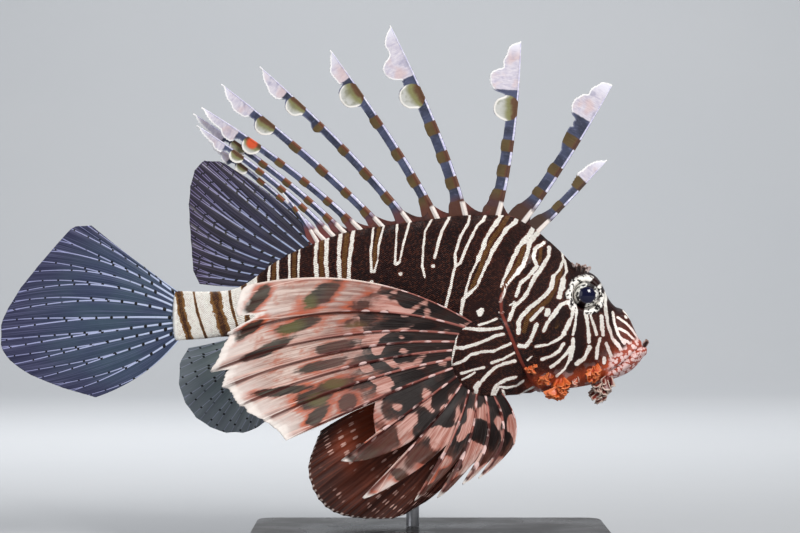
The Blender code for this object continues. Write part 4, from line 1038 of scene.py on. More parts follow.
dorsal_x = spread(*SOFT_DORSAL_ROOT, len(SOFT_DORSAL_TIPS))
dorsal_roots = [(x, 0.0, top - 3.0) for x, top in zip(dorsal_x, section(dorsal_x)[0])]
soft_dorsal = fin("soft_dorsal_fin_skin", middle_rays(dorsal_roots, SOFT_DORSAL_TIPS, SOFT_DORSAL_BOWS),
                  scalloped(0.008), 14, 80, DORSAL_LOOK, fold=0.5, pleat=0.0, frill=0.2, smooth=4)
anal_x = spread(*ANAL_ROOT, len(ANAL_TIPS))
anal_roots = [(x, 0.0, bottom + 3.0) for x, bottom in zip(anal_x, section(anal_x)[1])]
anal = fin("anal_fin_skin", middle_rays(anal_roots, ANAL_TIPS, ANAL_BOWS),
           scalloped(0.008), 12, 60, ANAL_LOOK, fold=0.5, pleat=0.0, frill=0.2, smooth=4)
tail_top, tail_bottom = section(TAIL_END)[:2]
caudal_z = spread(tail_top - 1.2, tail_bottom + 1.2, len(CAUDAL_TIPS))
caudal_roots = [(TAIL_END + 2.0, 0.0, z) for z in caudal_z]
caudal = fin("caudal_fin_skin", middle_rays(caudal_roots, CAUDAL_TIPS, CAUDAL_BOWS),
             scalloped(0.004), 14, 100, CAUDAL_LOOK, fold=0.6, pleat=0.0, frill=0.25, smooth=4)

# %% [markdown]
# ## Paired fins
# The pectoral fins are the lionfish's wings. Their upper rays share one broad membrane with a frayed
# pale rim. The lower ones are free like fingers: each finger is a pointed blade whose skin lies on
# the lower side of its ray, and a slit runs down just before the next ray. The rim is therefore a
# table for the broad part and a falling curve in every gap between fingers. The pelvic fins hang
# below, rounder and finely scalloped, and get more rays than the solids have.

# %% Pectoral and pelvic fins
PECTORAL_ANGLES = (112.0, 292.0)
PECTORAL_TIPS = [(-84.2, 46, 121.5), (-91.0, 50, 99.9), (-98.2, 53, 83.7), (-92.8, 55, 76.3),
                 (-85.4, 56, 68.5), (-74.9, 56, 62.1), (-64.8, 54, 52.9), (-39.8, 50, 44.2),
                 (-30.8, 46, 27.1), (-7.6, 42, 25.3), (2.4, 38, 26.1), (13.8, 35, 31.7),
                 (21.3, 33, 34.5), (26.8, 31, 36.5)]
PECTORAL_BOW = (11.0, -9.5)
PECTORAL_LOOK = (0.55, 0.95, 0.6, 0.2)
FAN_RIM = [(0.0, 0.975), (0.1, 1.0), (0.3, 1.0), (0.6, 0.985), (0.7, 0.95), (0.76, 0.87), (0.84, 0.93),
           (1.0, 1.0), (1.06, 0.975), (1.3, 0.99), (1.7, 0.99), (2.0, 1.0), (2.08, 0.98), (2.25, 0.93),
           (2.4, 0.955), (2.7, 0.975), (3.0, 1.0), (3.1, 0.975), (3.5, 0.985), (4.0, 1.0), (4.1, 0.985),
           (4.5, 1.0), (5.0, 1.0), (5.3, 0.985), (5.7, 0.985), (6.0, 1.0)]
FIRST_FINGER = 6
FINGER_SLITS = np.array([0.54, 0.6, 0.58, 0.54, 0.5, 0.45, 0.4])
PELVIC_TIPS = [(-2.0, 17, 23.0), (-18.5, 20, 15.3), (-37.0, 22, 16.3), (-49.8, 23, 22.9),
               (-55.7, 23, 38.1), (-51.2, 21, 52.9)]
PELVIC_ROOT_X, PELVIC_ROOT_OUT, PELVIC_BOW = (27.0, 19.5), (6.0, 7.0), (-7.0, 6.0)
PELVIC_RAYS = 17
PELVIC_LOOK = (0.5, 0.9, 0.5, 0.25)


def pectoral_margin(i, f):
    ray = i + f
    rim = read_table(FAN_RIM, ray) + 0.0025 * np.sin(ray * 41.0) + 0.002 * np.sin(ray * 67.0 + 1.0)
    slit = FINGER_SLITS[np.clip(i - FIRST_FINGER, 0, len(FINGER_SLITS) - 1)]
    finger = 1 - slit * np.where(i > FIRST_FINGER, f**1.4, 1 - 0.46 * f)
    return np.minimum(np.where(i >= FIRST_FINGER, finger, rim), 1.0)


def lobe_root(angle, side):
    """A point near the rim of a pectoral fin's fleshy base."""
    turn = math.radians(angle)
    z = LOBE_Z + 0.9 * LOBE_TALL * math.sin(turn)
    lean = math.tan(math.radians(LOBE_LEAN))
    return LOBE_X + 0.9 * LOBE_LONG * math.cos(turn), side * (LOBE_Y + (z - LOBE_Z) * lean), z


def pectoral_rays(side):
    angles, bows = spread(*PECTORAL_ANGLES, len(PECTORAL_TIPS)), spread(*PECTORAL_BOW, len(PECTORAL_TIPS))
    return [bowed(lobe_root(angle, side), (x, side * y, z), bow)
            for angle, bow, (x, y, z) in zip(angles, bows, PECTORAL_TIPS)]


def pelvic_rays(side):
    count = len(PELVIC_TIPS)
    root_x, root_y, bows = (spread(*ends, count) for ends in (PELVIC_ROOT_X, PELVIC_ROOT_OUT, PELVIC_BOW))
    root_z = section(root_x)[1] + 3.5
    rays = [bowed((rx, side * ry, rz), (x, side * y, z), bow)
            for rx, ry, rz, bow, (x, y, z) in zip(root_x, root_y, root_z, bows, PELVIC_TIPS)]
    return more_rays(rays, PELVIC_RAYS)


SIDES = ((-1, "right"), (1, "left"))
pectorals, pelvics = [], []
for side, word in SIDES:
    pectorals.append(fin(f"pectoral_fin_skin_{word}", pectoral_rays(side), pectoral_margin, 14, 130,
                         PECTORAL_LOOK, fold=2.3 * side, frill=0.7, relief=0.35))
    pelvics.append(fin(f"pelvic_fin_skin_{word}", pelvic_rays(side), scalloped(0.004), 8, 80,
                       PELVIC_LOOK, fold=0.7, pleat=0.0, frill=0.2))

# %% [markdown]
# ## Finish of the plain fins
# Tail fin and soft dorsal fin are slate blue and the anal fin is a pale grey, all a little
# see-through, with paler rays that fork towards the rim. Black dots sit on the rays. They are round
# near the body, and towards the rim they cut the finer rays into dashes.

# %% Rays and dots as masks
def rays_of(n, look, output=0):
    labels = ("First fork", "Second fork", "Root width", "Tip width")
    inputs = {"Ray": n.own("ray"), "Reach": n.own("reach"), "Gap": n.own("gap"), **dict(zip(labels, look))}
    return n.group(branching_rays, inputs, output)


def dots_of(n, look, pitch, long, wide, shrink=1.0, step=0.37):
    """Beads along every ray and its forks, a pitch apart, shrunk to that share at the rim."""
    shift = n.plus(n.times(rays_of(n, look, 2), step), n.times(n.noise(22.0, 1.0), 1.1))
    size = n.between(n.own("share"), 1.0, shrink)
    return n.group(beads, {"Along": n.own("along"), "Across": rays_of(n, look, 1), "Pitch": pitch,
                           "Shift": shift, "Long": n.times(size, long), "Wide": n.times(size, wide)})


def fin_rough(n):
    return n.between(n.noise(260.0), 0.45, 0.6)


def streaks(n, per_ray, per_mm, detail=3.0, rough=0.6):
    """A noise that is drawn out along the rays, with its pace across them and along them."""
    at = n.at(n.times(n.own("ray"), per_ray), n.times(n.own("along"), per_mm))
    return n.noise(1.0, detail, rough, at=at)


def fin_height(n):
    grain = n.group(wet_grain, {"Scale": 650.0, "Amount": 0.4})
    return n.plus(grain, n.times(streaks(n, 14.0, 0.05, 2.0, 0.5), 1.4))


# The thin, wet coat that most of the fins and the spines share.
FIN_COAT = {"Coat_Roughness": 0.25, "Specular_IOR_Level": 0.3}


def plain_fin_material(name, look, dot, inner, outer, rim, ray_near, ray_far):
    """A membrane with paler rays that dots break. dot is what dots_of takes."""
    def colour(n):
        cloud = n.noise(45.0, 3.0)
        membrane = n.shade(cloud, 0.3, 0.7, inner, outer)
        membrane = n.shade(n.own("share"), 0.5, 1.0, membrane, rim, 0.8)
        streak = streaks(n, 22.0, 0.02, 2.0, 0.5)
        membrane = n.shade(streak, 0.45, 0.75, membrane, ray_far, 0.25)
        lined = n.mix(rays_of(n, look), membrane, n.mix(n.own("share"), ray_near, ray_far))
        missing = n.noise(1.0, 1.0,
                          at=n.at(n.times(rays_of(n, look, 2), 5.0), n.times(n.own("along"), 0.045)))
        return n.mix(n.times(dots_of(n, look, *dot), n.step(missing, 0.4, 0.46)), lined, (5, 5, 9))

    def alpha(n):
        solid = n.math("MAXIMUM", rays_of(n, look), dots_of(n, look, *dot))
        return n.between(solid, 0.92, 1.0)

    return new_material(name, colour, fin_rough, height=fin_height, alpha=alpha, bump_depth=0.0001,
                        shine=0.12, **FIN_COAT)


# Rays and dots, then the paints of the membrane (two that mix, and the rim) and of the rays (near, far).
PLAIN_FINS = {
    "tail fin skin": (CAUDAL_LOOK, (7.0, 0.9, 1.0, 0.42), (46, 58, 88), (58, 78, 96), (44, 40, 74),
                      (196, 208, 236), (150, 152, 196)),
    "soft dorsal fin skin": (DORSAL_LOOK, (6.0, 0.85, 0.85, 0.45), (28, 26, 38), (36, 36, 58), (38, 30, 44),
                             (158, 174, 208), (120, 108, 148)),
    "anal fin skin": (ANAL_LOOK, (6.2, 0.58, 0.58, 0.9), (96, 110, 114), (118, 130, 130), (112, 120, 128),
                      (150, 156, 174), (142, 146, 166)),
}
caudal_material, dorsal_material, anal_material = (
    plain_fin_material(name, *values) for name, values in PLAIN_FINS.items())

# %% [markdown]
# ## Pattern of the pectoral fins
# The wings are pinkish beige. Dark grey-green blotches with orange rims cross the broad part. They
# are placed where the side view has them: each is an ellipse with a tilt, and a point keeps
# its distance to the nearest one as a share, just as the skin's lines do. On the fingers and near the
# base dark and pink patches are staggered from gap to gap. A noise makes them, read at another place
# for each gap. Near the base they are almost black, with pale dashes on the rays.

# %% Blotches in the side view
# x, z, half length, half width, tilt in degrees
PECTORAL_BLOTCHES = [
    (-80.0, 114.8, 8.3, 2.5, 48), (-50.4, 117.2, 9.7, 3.3, 38), (-26.0, 114.8, 8.9, 2.7, 20),
    (-5.1, 111.1, 8.6, 2.3, -6), (-84.4, 100.7, 6.8, 2.1, 35), (-60.6, 103.1, 9.2, 2.1, 15),
    (-31.4, 105.1, 7.6, 2.4, 15), (-16.3, 104.1, 5.6, 1.9, 8), (-2.7, 102.5, 4.7, 1.5, 5),
    (-74.2, 92.4, 10.7, 2.1, 25), (-44.0, 92.9, 8.0, 2.4, 10), (-25.1, 94.7, 6.8, 1.9, 8),
    (-12.4, 96.6, 4.5, 1.5, 5), (-49.9, 84.4, 10.7, 1.9, 12), (-30.4, 86.6, 6.8, 2.1, 10),
    (-15.3, 88.8, 5.8, 2.6, 10), (-68.8, 72.5, 12.6, 1.7, 8), (-44.0, 75.2, 8.3, 2.5, 15),
    (-53.8, 69.1, 7.0, 3.7, 10), (-51.8, 61.3, 6.0, 2.6, 48), (-37.7, 67.6, 4.1, 3.1, 40),
    (-28.5, 76.4, 5.8, 1.9, 15), (-15.8, 71.5, 7.3, 4.1, 15), (-20.7, 63.8, 5.8, 1.9, 25),
    (-8.1, 79.3, 5.3, 2.4, 15), (-3.2, 69.6, 5.8, 3.7, 30),
]
GREEN_BLOTCHES = [
    (-56.2, 112.4, 4.9, 3.7, 60), (-64.5, 101.7, 6.8, 2.9, 20), (-51.8, 68.6, 4.9, 2.9, 10),
    (-34.3, 101.7, 5.8, 2.9, 10), (-44.0, 76.4, 5.8, 2.9, 10),
]
PECTORAL_CENTRE = (18.0, 92.0)


def seen(points):
    """Where points off the middle plane show in a side view of that plane, for either side."""
    nearer = VIEW_DISTANCE / (VIEW_DISTANCE - abs(points[..., 1]))
    return VIEW_X + (points[..., 0] - VIEW_X) * nearer, VIEW_Z + (points[..., 2] - VIEW_Z) * nearer


def blotches(places, x, z):
    """The least distance to any of the blotches, where 1 is the blotch's own edge."""
    least = np.full(np.shape(x), FAR_SHARE)
    for x0, z0, long, wide, tilt in places:
        turn = math.radians(tilt)
        ahead = (x - x0) * math.cos(turn) + (z - z0) * math.sin(turn)
        beside = (z - z0) * math.cos(turn) - (x - x0) * math.sin(turn)
        least = np.minimum(least, np.hypot(ahead / long, beside / wide))
    return least


for piece in pectorals:
    side_x, side_z = seen(read_points(piece) / MM)
    from_base = np.hypot(side_x - PECTORAL_CENTRE[0], side_z - PECTORAL_CENTRE[1])
    give(piece, {"blotch": blotches(PECTORAL_BLOTCHES, side_x, side_z),
                 "green": blotches(GREEN_BLOTCHES, side_x, side_z), "from_base": from_base})


def pectoral_colour(n):
    ray, along, reach, base = n.own("ray"), n.own("along"), n.own("share"), n.own("from_base")
    streak, cloud = streaks(n, 11.0, 0.045), streaks(n, 2.4, 0.11)
    waver = n.plus(n.sway(streak, 1.1), n.sway(cloud, 1.2))
    tone = n.shade(streak, 0.35, 0.65, (158, 126, 116), (208, 186, 176))
    tone = n.shade(cloud, 0.48, 0.66, tone, (168, 90, 64), 0.7)
    tone = n.shade(reach, 0.8, 0.97, tone, (216, 202, 196), 0.85)
    # Painted shade: a redder brown on either side of a ray, where the pleat's fold is in shadow.
    fold = n.math("ABSOLUTE", n.minus(n.times(n.own("between"), 2.0), 1.0))
    tone = n.shade(fold, 0.5, 1.0, tone, n.shade(streak, 0.4, 0.6, (124, 50, 36), (176, 96, 72)), 0.55)
    # Blotches on the broad part, staggered patches on the fingers.
    finger = n.step(ray, FIRST_FINGER + 0.02, FIRST_FINGER + 0.06)
    spot = n.plus(n.own("blotch"), waver)
    at = n.at(n.plus(n.times(ray, 0.9), n.times(n.math("FLOOR", ray), 7.3)), n.times(along, 0.085))
    band = n.step(n.noise(1.0, 1.0, 0.5, at=at), 0.34, 0.66)
    marks = n.plus(n.minus(1.95, n.times(band, 1.5)), n.sway(streak, 0.9))
    spot = n.node("ShaderNodeMix", {0: finger, 2: spot, 3: marks})
    orange = n.shade(streak, 0.35, 0.65, (200, 92, 50), (150, 62, 38))
    glow = n.times(n.step(spot, 2.1, 1.3), n.step(n.noise(48.0, 2.0), 0.38, 0.56))
    coloured = n.mix(n.times(glow, 0.85), tone, orange)
    patch = n.shade(streak, 0.3, 0.7, (20, 18, 18), (62, 60, 50))
    patch = n.shade(n.own("green"), 1.5, 0.5, patch, (84, 86, 42), 0.75)
    coloured = n.shade(spot, 1.4, 1.0, coloured, patch, 0.95)
    # The inner half is almost black with staggered pink patches, fewer towards the base.
    nearer = n.plus(base, n.sway(cloud, 34.0))
    coloured = n.shade(nearer, 80.0, 56.0, coloured, (104, 44, 34), 0.4)
    pink = n.plus(n.minus(1.0, band), n.plus(n.sway(streak, 0.45), n.times(n.step(base, 46.0, 20.0), -0.35)))
    deep = n.shade(pink, 0.5, 0.66, (14, 10, 11), n.shade(streak, 0.35, 0.65, (158, 98, 84), (204, 160, 150)))
    coloured = n.shade(nearer, 58.0, 42.0, coloured, deep, 0.94)
    line = rays_of(n, PECTORAL_LOOK)
    shaft = n.shade(spot, 1.3, 1.0, n.shade(reach, 0.4, 0.85, (176, 108, 98), (220, 184, 172)), (84, 34, 30))
    coloured = n.mix(n.times(line, 0.75), coloured, shaft)
    coloured = n.mix(n.times(n.step(ray, 0.07, 0.0), n.step(reach, 0.3, 0.45)), coloured, (232, 214, 204))
    # Painted shadow: a thin dark red-brown line just past each ray, in the crease where the pleat drops.
    pleat_shadow = n.times(n.step(n.own("between"), 0.16, 0.0),
                     n.times(n.step(reach, 0.1, 0.3), n.step(ray, 0.5, 1.0)))
    coloured = n.mix(n.times(pleat_shadow, 0.75), coloured, (70, 24, 22))
    dashes = n.times(dots_of(n, PECTORAL_LOOK, 9.0, 2.0, 0.5, 1.0, 0.43), n.step(base, 66.0, 50.0))
    dashes = n.times(dashes, n.step(n.noise(90.0), 0.42, 0.52))
    coloured = n.mix(dashes, coloured, (226, 192, 188))
    frayed = n.sway(n.noise(220.0, 2.0), 0.08)
    rim = n.node("ShaderNodeMix", {0: finger, 2: n.step(n.plus(reach, frayed), 0.945, 0.985),
                                   3: n.step(n.plus(n.own("reach"), frayed), 0.93, 0.98)})
    return n.mix(n.times(rim, 0.85), coloured, (238, 230, 224))


pectoral_material = new_material("pectoral fin skin", pectoral_colour, fin_rough, height=fin_height,
                                 bump_depth=0.00022, shine=0.05, Coat_Roughness=0.3, Specular_IOR_Level=0.15)

# %% [markdown]
# ## Pattern of the pelvic fins
# These are a dark red-brown with rows of short pinkish dashes across all the rays, a few black spots
# and a tiny white tip on every ray. The dashes are beads again, thinned out by a noise.

# %% Pelvic finish
def pelvic_colour(n):
    reach = n.own("share")
    membrane = n.shade(streaks(n, 3.2, 0.06), 0.3, 0.7, (62, 26, 18), (104, 48, 30))
    membrane = n.shade(n.noise(26.0), 0.42, 0.6, membrane, (158, 68, 36), 0.65)
    membrane = n.shade(reach, 0.75, 1.0, membrane, (36, 22, 20), 0.7)
    membrane = n.shade(n.noise(34.0), 0.62, 0.67, membrane, (12, 7, 10), 0.85)
    lined = n.mix(n.times(rays_of(n, PELVIC_LOOK), 0.3), membrane, (128, 66, 46))
    spots = n.times(dots_of(n, PELVIC_LOOK, 6.4, 1.5, 0.42, 0.9, 0.03), n.step(n.noise(80.0), 0.44, 0.54))
    lined = n.mix(n.times(spots, n.times(n.step(reach, 0.98, 0.9), 0.85)), lined, (224, 178, 164))
    tip = n.times(n.step(reach, 0.984, 0.992), n.step(rays_of(n, PELVIC_LOOK, 1), 0.6, 0.3))
    return n.mix(n.times(tip, 0.8), lined, (206, 190, 182))


pelvic_material = new_material("pelvic fin skin", pelvic_colour, fin_rough, height=fin_height,
                               bump_depth=0.00018, shine=0.12, **FIN_COAT)


def dress(piece, material, slot, *nodes):
    """Gives a finished piece its material and body, in place of the nodes that it stands for; slot is not
    used.
    """
    piece.data.materials.append(material)
    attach(piece, "root")
    if nodes:
        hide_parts(*nodes)


dress(soft_dorsal, dorsal_material, "median_fins", "soft_dorsal_fin")
dress(anal, anal_material, "median_fins", "anal_fin")
dress(caudal, caudal_material, "median_fins", "caudal_fin")
for piece, word in zip(pectorals, ("right", "left")):
    dress(piece, pectoral_material, "pectoral_fins", f"pectoral_fin_{word}")
for piece, word in zip(pelvics, ("right", "left")):
    dress(piece, pelvic_material, "pelvic_fins", f"pelvic_fin_{word}")
print("fins dressed:", 3 + len(pectorals) + len(pelvics))

# %% [markdown]
# ## Dorsal spines
# Thirteen venomous spines stand along a lionfish's back, twelve of them free in this pose. Each is a
# hard pale shaft in front with a band of skin behind it, which swells into a round lobe and ends in a
# ragged flag. Each is a grid from front edge to rear margin. The columns at the front are set round
# the shaft, the rest make the thin skin. No two margins are alike, so the margin of each spine is a
# table of widths from the tip down, and its colours change at a list of lengths. The rows lie closer
# together near the tip, where the margin is ragged.

# %% Courses and margins of the spines
SPINES = [(47.5, (65.5, 161.5), (81.8, 179.4), 1.5), (41.0, (62.5, 175.0), (84.0, 214.0), -1.5),
          (30.5, (40.2, 183.5), (42.0, 234.3), 1.5), (17.5, (10.5, 183.5), (-18.5, 241.3), -2.0),
          (5.5, (-8.5, 179.0), (-46.2, 230.2), 2.0), (-6.5, (-29.5, 179.0), (-78.6, 222.3), -2.0),
          (-18.5, (-47.5, 177.0), (-96.6, 214.5), 2.5), (-28.5, (-58.5, 175.0), (-105.4, 203.5), -2.5),
          (-36.0, (-64.5, 172.3), (-109.6, 200.9), 2.5), (-41.5, (-67.5, 169.7), (-107.6, 195.1), -2.5),
          (-46.0, (-70.0, 166.0), (-102.6, 188.5), 2.0), (-50.0, (-59.0, 154.5), (-68.0, 164.1), -1.0)]
SPINE_RADIUS, SPINE_TIP_RADIUS, SPINE_SINK = 1.0, 0.28, 4.5
SPINE_ROWS, SHAFT_COLUMNS, WEB_COLUMNS = 170, 7, 13
FINE_ROWS, FINE_LENGTH = 0.62, 45.0
LAST_FLAG = [(0, 0), (1.7, 1.6), (4.7, 3.4), (7.7, 4.4), (11.2, 4.9), (13, 5.1), (14, 6.2), (15.8, 7.1),
             (18.8, 7.3), (20.6, 6.2), (21.6, 4.3), (24.0, 3.9), (24.8, 5.4), (26.4, 6.9), (28.9, 7.4),
             (31.2, 6.7), (32.8, 5.1), (33.6, 3.6)]
# Lengths from the tip and widths from the front edge, down to where the plain banded strip begins.
FLAGS = [
    [(0, 0), (2.5, 3.4), (6.7, 5.6), (11.4, 6.4), (13.3, 6.8), (15.5, 6.2), (20, 5.2)],
    [(0, 0), (0.6, 4.4), (3.0, 6.6), (6.4, 8.5), (8.4, 8.6), (9.0, 8.2), (9.8, 9.9), (12.2, 11.6),
     (14.6, 12.8), (17.2, 12.7), (19.4, 11.4), (21.6, 9.3), (22.0, 7.6), (24.1, 7.9), (25.6, 6.9),
     (26.8, 8.3), (31, 8.1), (34.6, 7.5), (37.5, 6.2)],
    [(0, 0), (1.6, 4.9), (6.6, 7.4), (9.6, 8.7), (12.6, 8.5), (13.2, 10.6), (14.6, 13.2), (17.0, 14.4),
     (19.6, 14.2), (22.2, 12.9), (24.0, 10.8), (24.8, 7.6), (25.9, 6.7), (27, 9.3), (28.8, 11.0),
     (31.6, 11.7), (34.4, 11.0), (36.2, 8.9), (37.2, 6.4)],
    [(0, 0), (2.2, 3.3), (4.8, 5.9), (8, 7.4), (9.6, 7), (12.9, 7.9), (13.8, 9.7), (15.4, 11.9), (17.6, 13.1),
     (19.8, 13.0), (22.2, 11.8), (24.1, 9.3), (24.9, 7.1), (27.9, 7.2), (28.8, 9.3), (31.0, 11.2),
     (34.0, 11.8), (36.8, 10.9), (38.8, 8.9), (39.9, 6.0)],
    [(0, 0), (2.9, 3.1), (5.6, 4.9), (7.5, 6.6), (10.2, 7.3), (13.0, 7.0), (14.9, 7.0), (16.4, 5.9),
     (17.2, 8.0), (19.4, 9.9), (22.2, 10.8), (25.0, 10.5), (27.2, 9.0), (28.6, 6.4), (29.4, 4.6)],
    [(0, 0), (2.9, 2.4), (5.6, 4.5), (8.7, 5.7), (11.9, 7.2), (14.9, 7.2), (17.4, 5.6), (19.0, 4.4),
     (20.4, 6.3), (22.6, 7.7), (25.2, 7.9), (27.6, 6.8), (29.4, 4.4), (34.6, 4.1), (36.4, 5.3), (38.9, 5.9),
     (41.2, 4.3)],
    [(0, 0), (2.6, 2.0), (4.4, 3.6), (6.7, 4.9), (8.7, 5.3), (12.2, 7.1), (15.1, 6.9), (17.5, 6.6),
     (19.2, 5.2), (22.2, 4.5), (23.5, 6.3), (25.5, 7.8), (28.2, 8.1), (30.6, 7.0), (32.4, 5.2), (33.4, 3.9)],
    LAST_FLAG,
    [(0.9 * length, 0.85 * width) for length, width in LAST_FLAG],
    [(0.8 * length, 0.75 * width) for length, width in LAST_FLAG],
    [(0.7 * length, 0.7 * width) for length, width in LAST_FLAG],
    [(0, 0), (3, 2.0), (5, 2.4), (7, 2.0)],
]
# Length of the white flag, then the round lobe (length, distance behind the shaft and radius), then
# the brown bands, all from the tip down, then the strip's width between bands and at a band.
BANDS = [
    (14.2, None, [(14.2, 19.6), (28.8, 33.8), (39.2, 99)], 4.4, 5.2),
    (19.9, None, [(29.3, 34.8), (44.9, 49.9), (58.1, 62.5), (69.2, 99)], 5.9, 7.2),
    (22.8, (31.4, 4.6, 5.8), [(46.0, 51.6), (57.8, 63.5), (69.5, 74.9), (77.9, 120)], 5.6, 6.8),
    (25.1, (34.2, 4.8, 5.8), [(48.1, 54.5), (62.9, 68.1), (75.5, 80.9), (86.8, 120)], 5.6, 6.8),
    (15.4, (22.9, 4.2, 5.6), [(36.7, 42.3), (54.9, 60.2), (68.8, 74.7), (80.3, 120)], 4.6, 6.0),
    (17.2, (24.7, 2.4, 4.6), [(37.5, 40.8), (52.2, 56.9), (66.8, 72.4), (81.8, 87.6), (97.8, 120)], 4.2, 5.2),
    (19.2, (27.9, 2.6, 4.6), [(42.1, 47.8), (58.6, 64.2), (74.5, 79.0), (87.2, 91.3), (96.8, 120)], 3.9, 4.8),
    (20.3, (28.9, 2.2, 4.3), [(42.0, 46.3), (56.4, 60.8), (70.7, 74.5), (82.4, 85.8)], 3.6, 4.4),
    (18.0, (26.0, 1.8, 3.8), [(38.0, 42.0), (52.0, 56.0), (65.0, 69.0), (77.0, 81.0)], 3.2, 4.0),
    (16.0, (23.1, 1.6, 3.4), [(34.0, 38.0), (47.0, 51.0), (60.0, 64.0)], 3.0, 3.6),
    (13.0, (20.2, 1.4, 3.0), [(29.0, 33.0), (41.0, 45.0), (52.0, 56.0)], 2.7, 3.3),
    (5.0, None, [(8.0, 11.0)], 2.4, 2.8),
]
FOOT_WIDER, FOOT_LONG = 2.6, 13.0
SHAFT_TURN, WEB_HALF, WEB_THINS = 150, 0.2, 0.09
RAGGED_LONG, SWAY, SWAY_LONG = 14.0, 0.3, 18.0
# The one orange spot: number of its spine, distance from the tip and behind the shaft, and radius.
ORANGE_SPOT = (7, 28.5, 1.2, 3.0)


def inside(spans, at):
    """How far inside the nearest of the spans, below 0 outside all of them."""
    return np.maximum.reduce([np.minimum(at - first, last - at) for first, last in spans])


def spine_course(root_x, middle, tip, tip_y):
    """Points along a spine's shaft with their lengths from the tip."""
    root = np.array([root_x, 0.0, section(root_x)[0] - SPINE_SINK])
    ray = [(root, np.array([middle[0], tip_y * 0.3, middle[1]]), np.array([tip[0], tip_y, tip[1]]))]
    line = on_rays(ray, np.zeros(401, int), spread(1.0, 0.0, 401))
    return line, np.concatenate([[0.0], np.cumsum(np.linalg.norm(np.diff(line, axis=0), axis=1))])


# %% Model the spines
def spine(number, root_x, middle, tip, tip_y):
    """One spine with its web, lobe and flag, built from the tip down."""
    piece, u, row = flat_grid(f"spine_{number + 1}", SPINE_ROWS, SHAFT_COLUMNS + WEB_COLUMNS)
    line, lengths = spine_course(root_x, middle, tip, tip_y)
    fine = min(FINE_LENGTH, 0.6 * lengths[-1])
    down = np.interp(1 - row, (0.0, FINE_ROWS, 1.0), (0.0, fine, lengths[-1]))
    axis_line = np.stack([np.interp(down, lengths, course) for course in line.T], axis=-1)
    slopes = [np.gradient(course, lengths) for course in line.T]
    tangent = np.stack([np.interp(down[:, 0], lengths, slope) for slope in slopes], axis=-1)
    tangent /= -np.linalg.norm(tangent, axis=1, keepdims=True)
    back = np.stack([-tangent[:, 2], 0 * tangent[:, 0], tangent[:, 0]], axis=1)
    back /= np.linalg.norm(back, axis=1, keepdims=True)
    out = np.cross(tangent, back)
    radius = SPINE_TIP_RADIUS + (SPINE_RADIUS - SPINE_TIP_RADIUS) * down / lengths[-1]
    flag, lobe, browns, plain, banded = BANDS[number]
    foot = lengths[-1] - SPINE_SINK - down
    strip_width = plain + 0.5 * (banded - plain) * smooth_step(-0.6, 1.4, inside(browns, down))
    strip_width += FOOT_WIDER * smooth_step(FOOT_LONG, 0.0, foot)
    tip_part = FLAGS[number]
    width = np.where(down < tip_part[-1][0], read_table(tip_part, down), strip_width) - SPINE_RADIUS
    ragged = 0.16 * np.sin(down * 4.3 + number) + 0.1 * np.sin(down * 7.7)
    width = width + ragged * smooth_step(0.0, 3.0, down) * smooth_step(flag + RAGGED_LONG, flag, down)
    width = np.maximum(width, radius)
    column = u * (SHAFT_COLUMNS + WEB_COLUMNS)
    strip = np.clip((column - SHAFT_COLUMNS) / WEB_COLUMNS, 0, 1)
    angle = -math.pi / 2 + np.clip(column / SHAFT_COLUMNS, 0, 1) * math.radians(SHAFT_TURN)
    shaft_end = math.sin(math.radians(SHAFT_TURN - 90))
    place = radius * np.sin(angle) + strip * (width - radius * shaft_end)
    shaft_half = radius * 0.9 * np.maximum(np.cos(angle), 0.06)
    half = np.where(strip > 0, WEB_HALF - WEB_THINS * strip, shaft_half)
    half = np.maximum(half, radius * 0.45 * (1 - strip * 3) * (strip > 0))
    sway = SWAY * np.sin(down / 4.1 + number) * smooth_step(flag + SWAY_LONG, flag, down) * strip
    two_faces(piece, axis_line + back[:, None] * place[..., None] + out[:, None] * sway[..., None], half)
    edge = np.stack([down[:, 0], width[:, 0]], axis=1)[::-1]
    rim = distance_to(edge[edge[:, 0] < tip_part[-1][0] + 3].tolist(), down, place)
    orange_spot = ORANGE_SPOT[1:] if number == ORANGE_SPOT[0] else None
    heart, orange = (np.hypot(down - spot[0], place - spot[1]) / spot[2] if spot else down * 0 + FAR_SHARE
                     for spot in (lobe, orange_spot))
    give_both(piece, {"down": down, "place": place, "strip": strip, "stripe": abs(place / radius + 0.05),
                      "rim": rim, "orange": orange, "flag": flag - down, "brown": inside(browns, down),
                      "heart": heart, "foot": foot, "row_share": down * 0 + number / (len(SPINES) - 1)})
    return piece


def joined(pieces, name):
    """The pieces as one object of that name."""
    bpy.ops.object.select_all(action="DESELECT")
    for piece in pieces:
        piece.select_set(True)
    bpy.context.view_layer.objects.active = pieces[0]
    bpy.ops.object.join()
    whole = bpy.context.object
    whole.name = name
    return whole


spine_row = joined([spine(number, *course) for number, course in enumerate(SPINES)], "dorsal_spines")
print("spines:", len(SPINES), "with", len(spine_row.data.polygons), "faces")

# %% The low web between the spines
LOW_WEB_TOP, LOW_WEB_SAG = 0.13, 0.5
LOW_WEB_LOOK = (2.0, 2.0, 0.9, 0.7)

low_rays = []
for course in SPINES:
    line, lengths = spine_course(*course)
    stops = np.searchsorted(lengths, lengths[-1] * (1 - np.array([0.0, LOW_WEB_TOP / 2, LOW_WEB_TOP])))
    low_rays.append(tuple(line[np.minimum(stops, len(line) - 1)]))
low_web = fin("spine_root_web", low_rays, scalloped(LOW_WEB_SAG), 12, 24, LOW_WEB_LOOK, fold=0.2,
              relief=0.0, pleat=0.0)

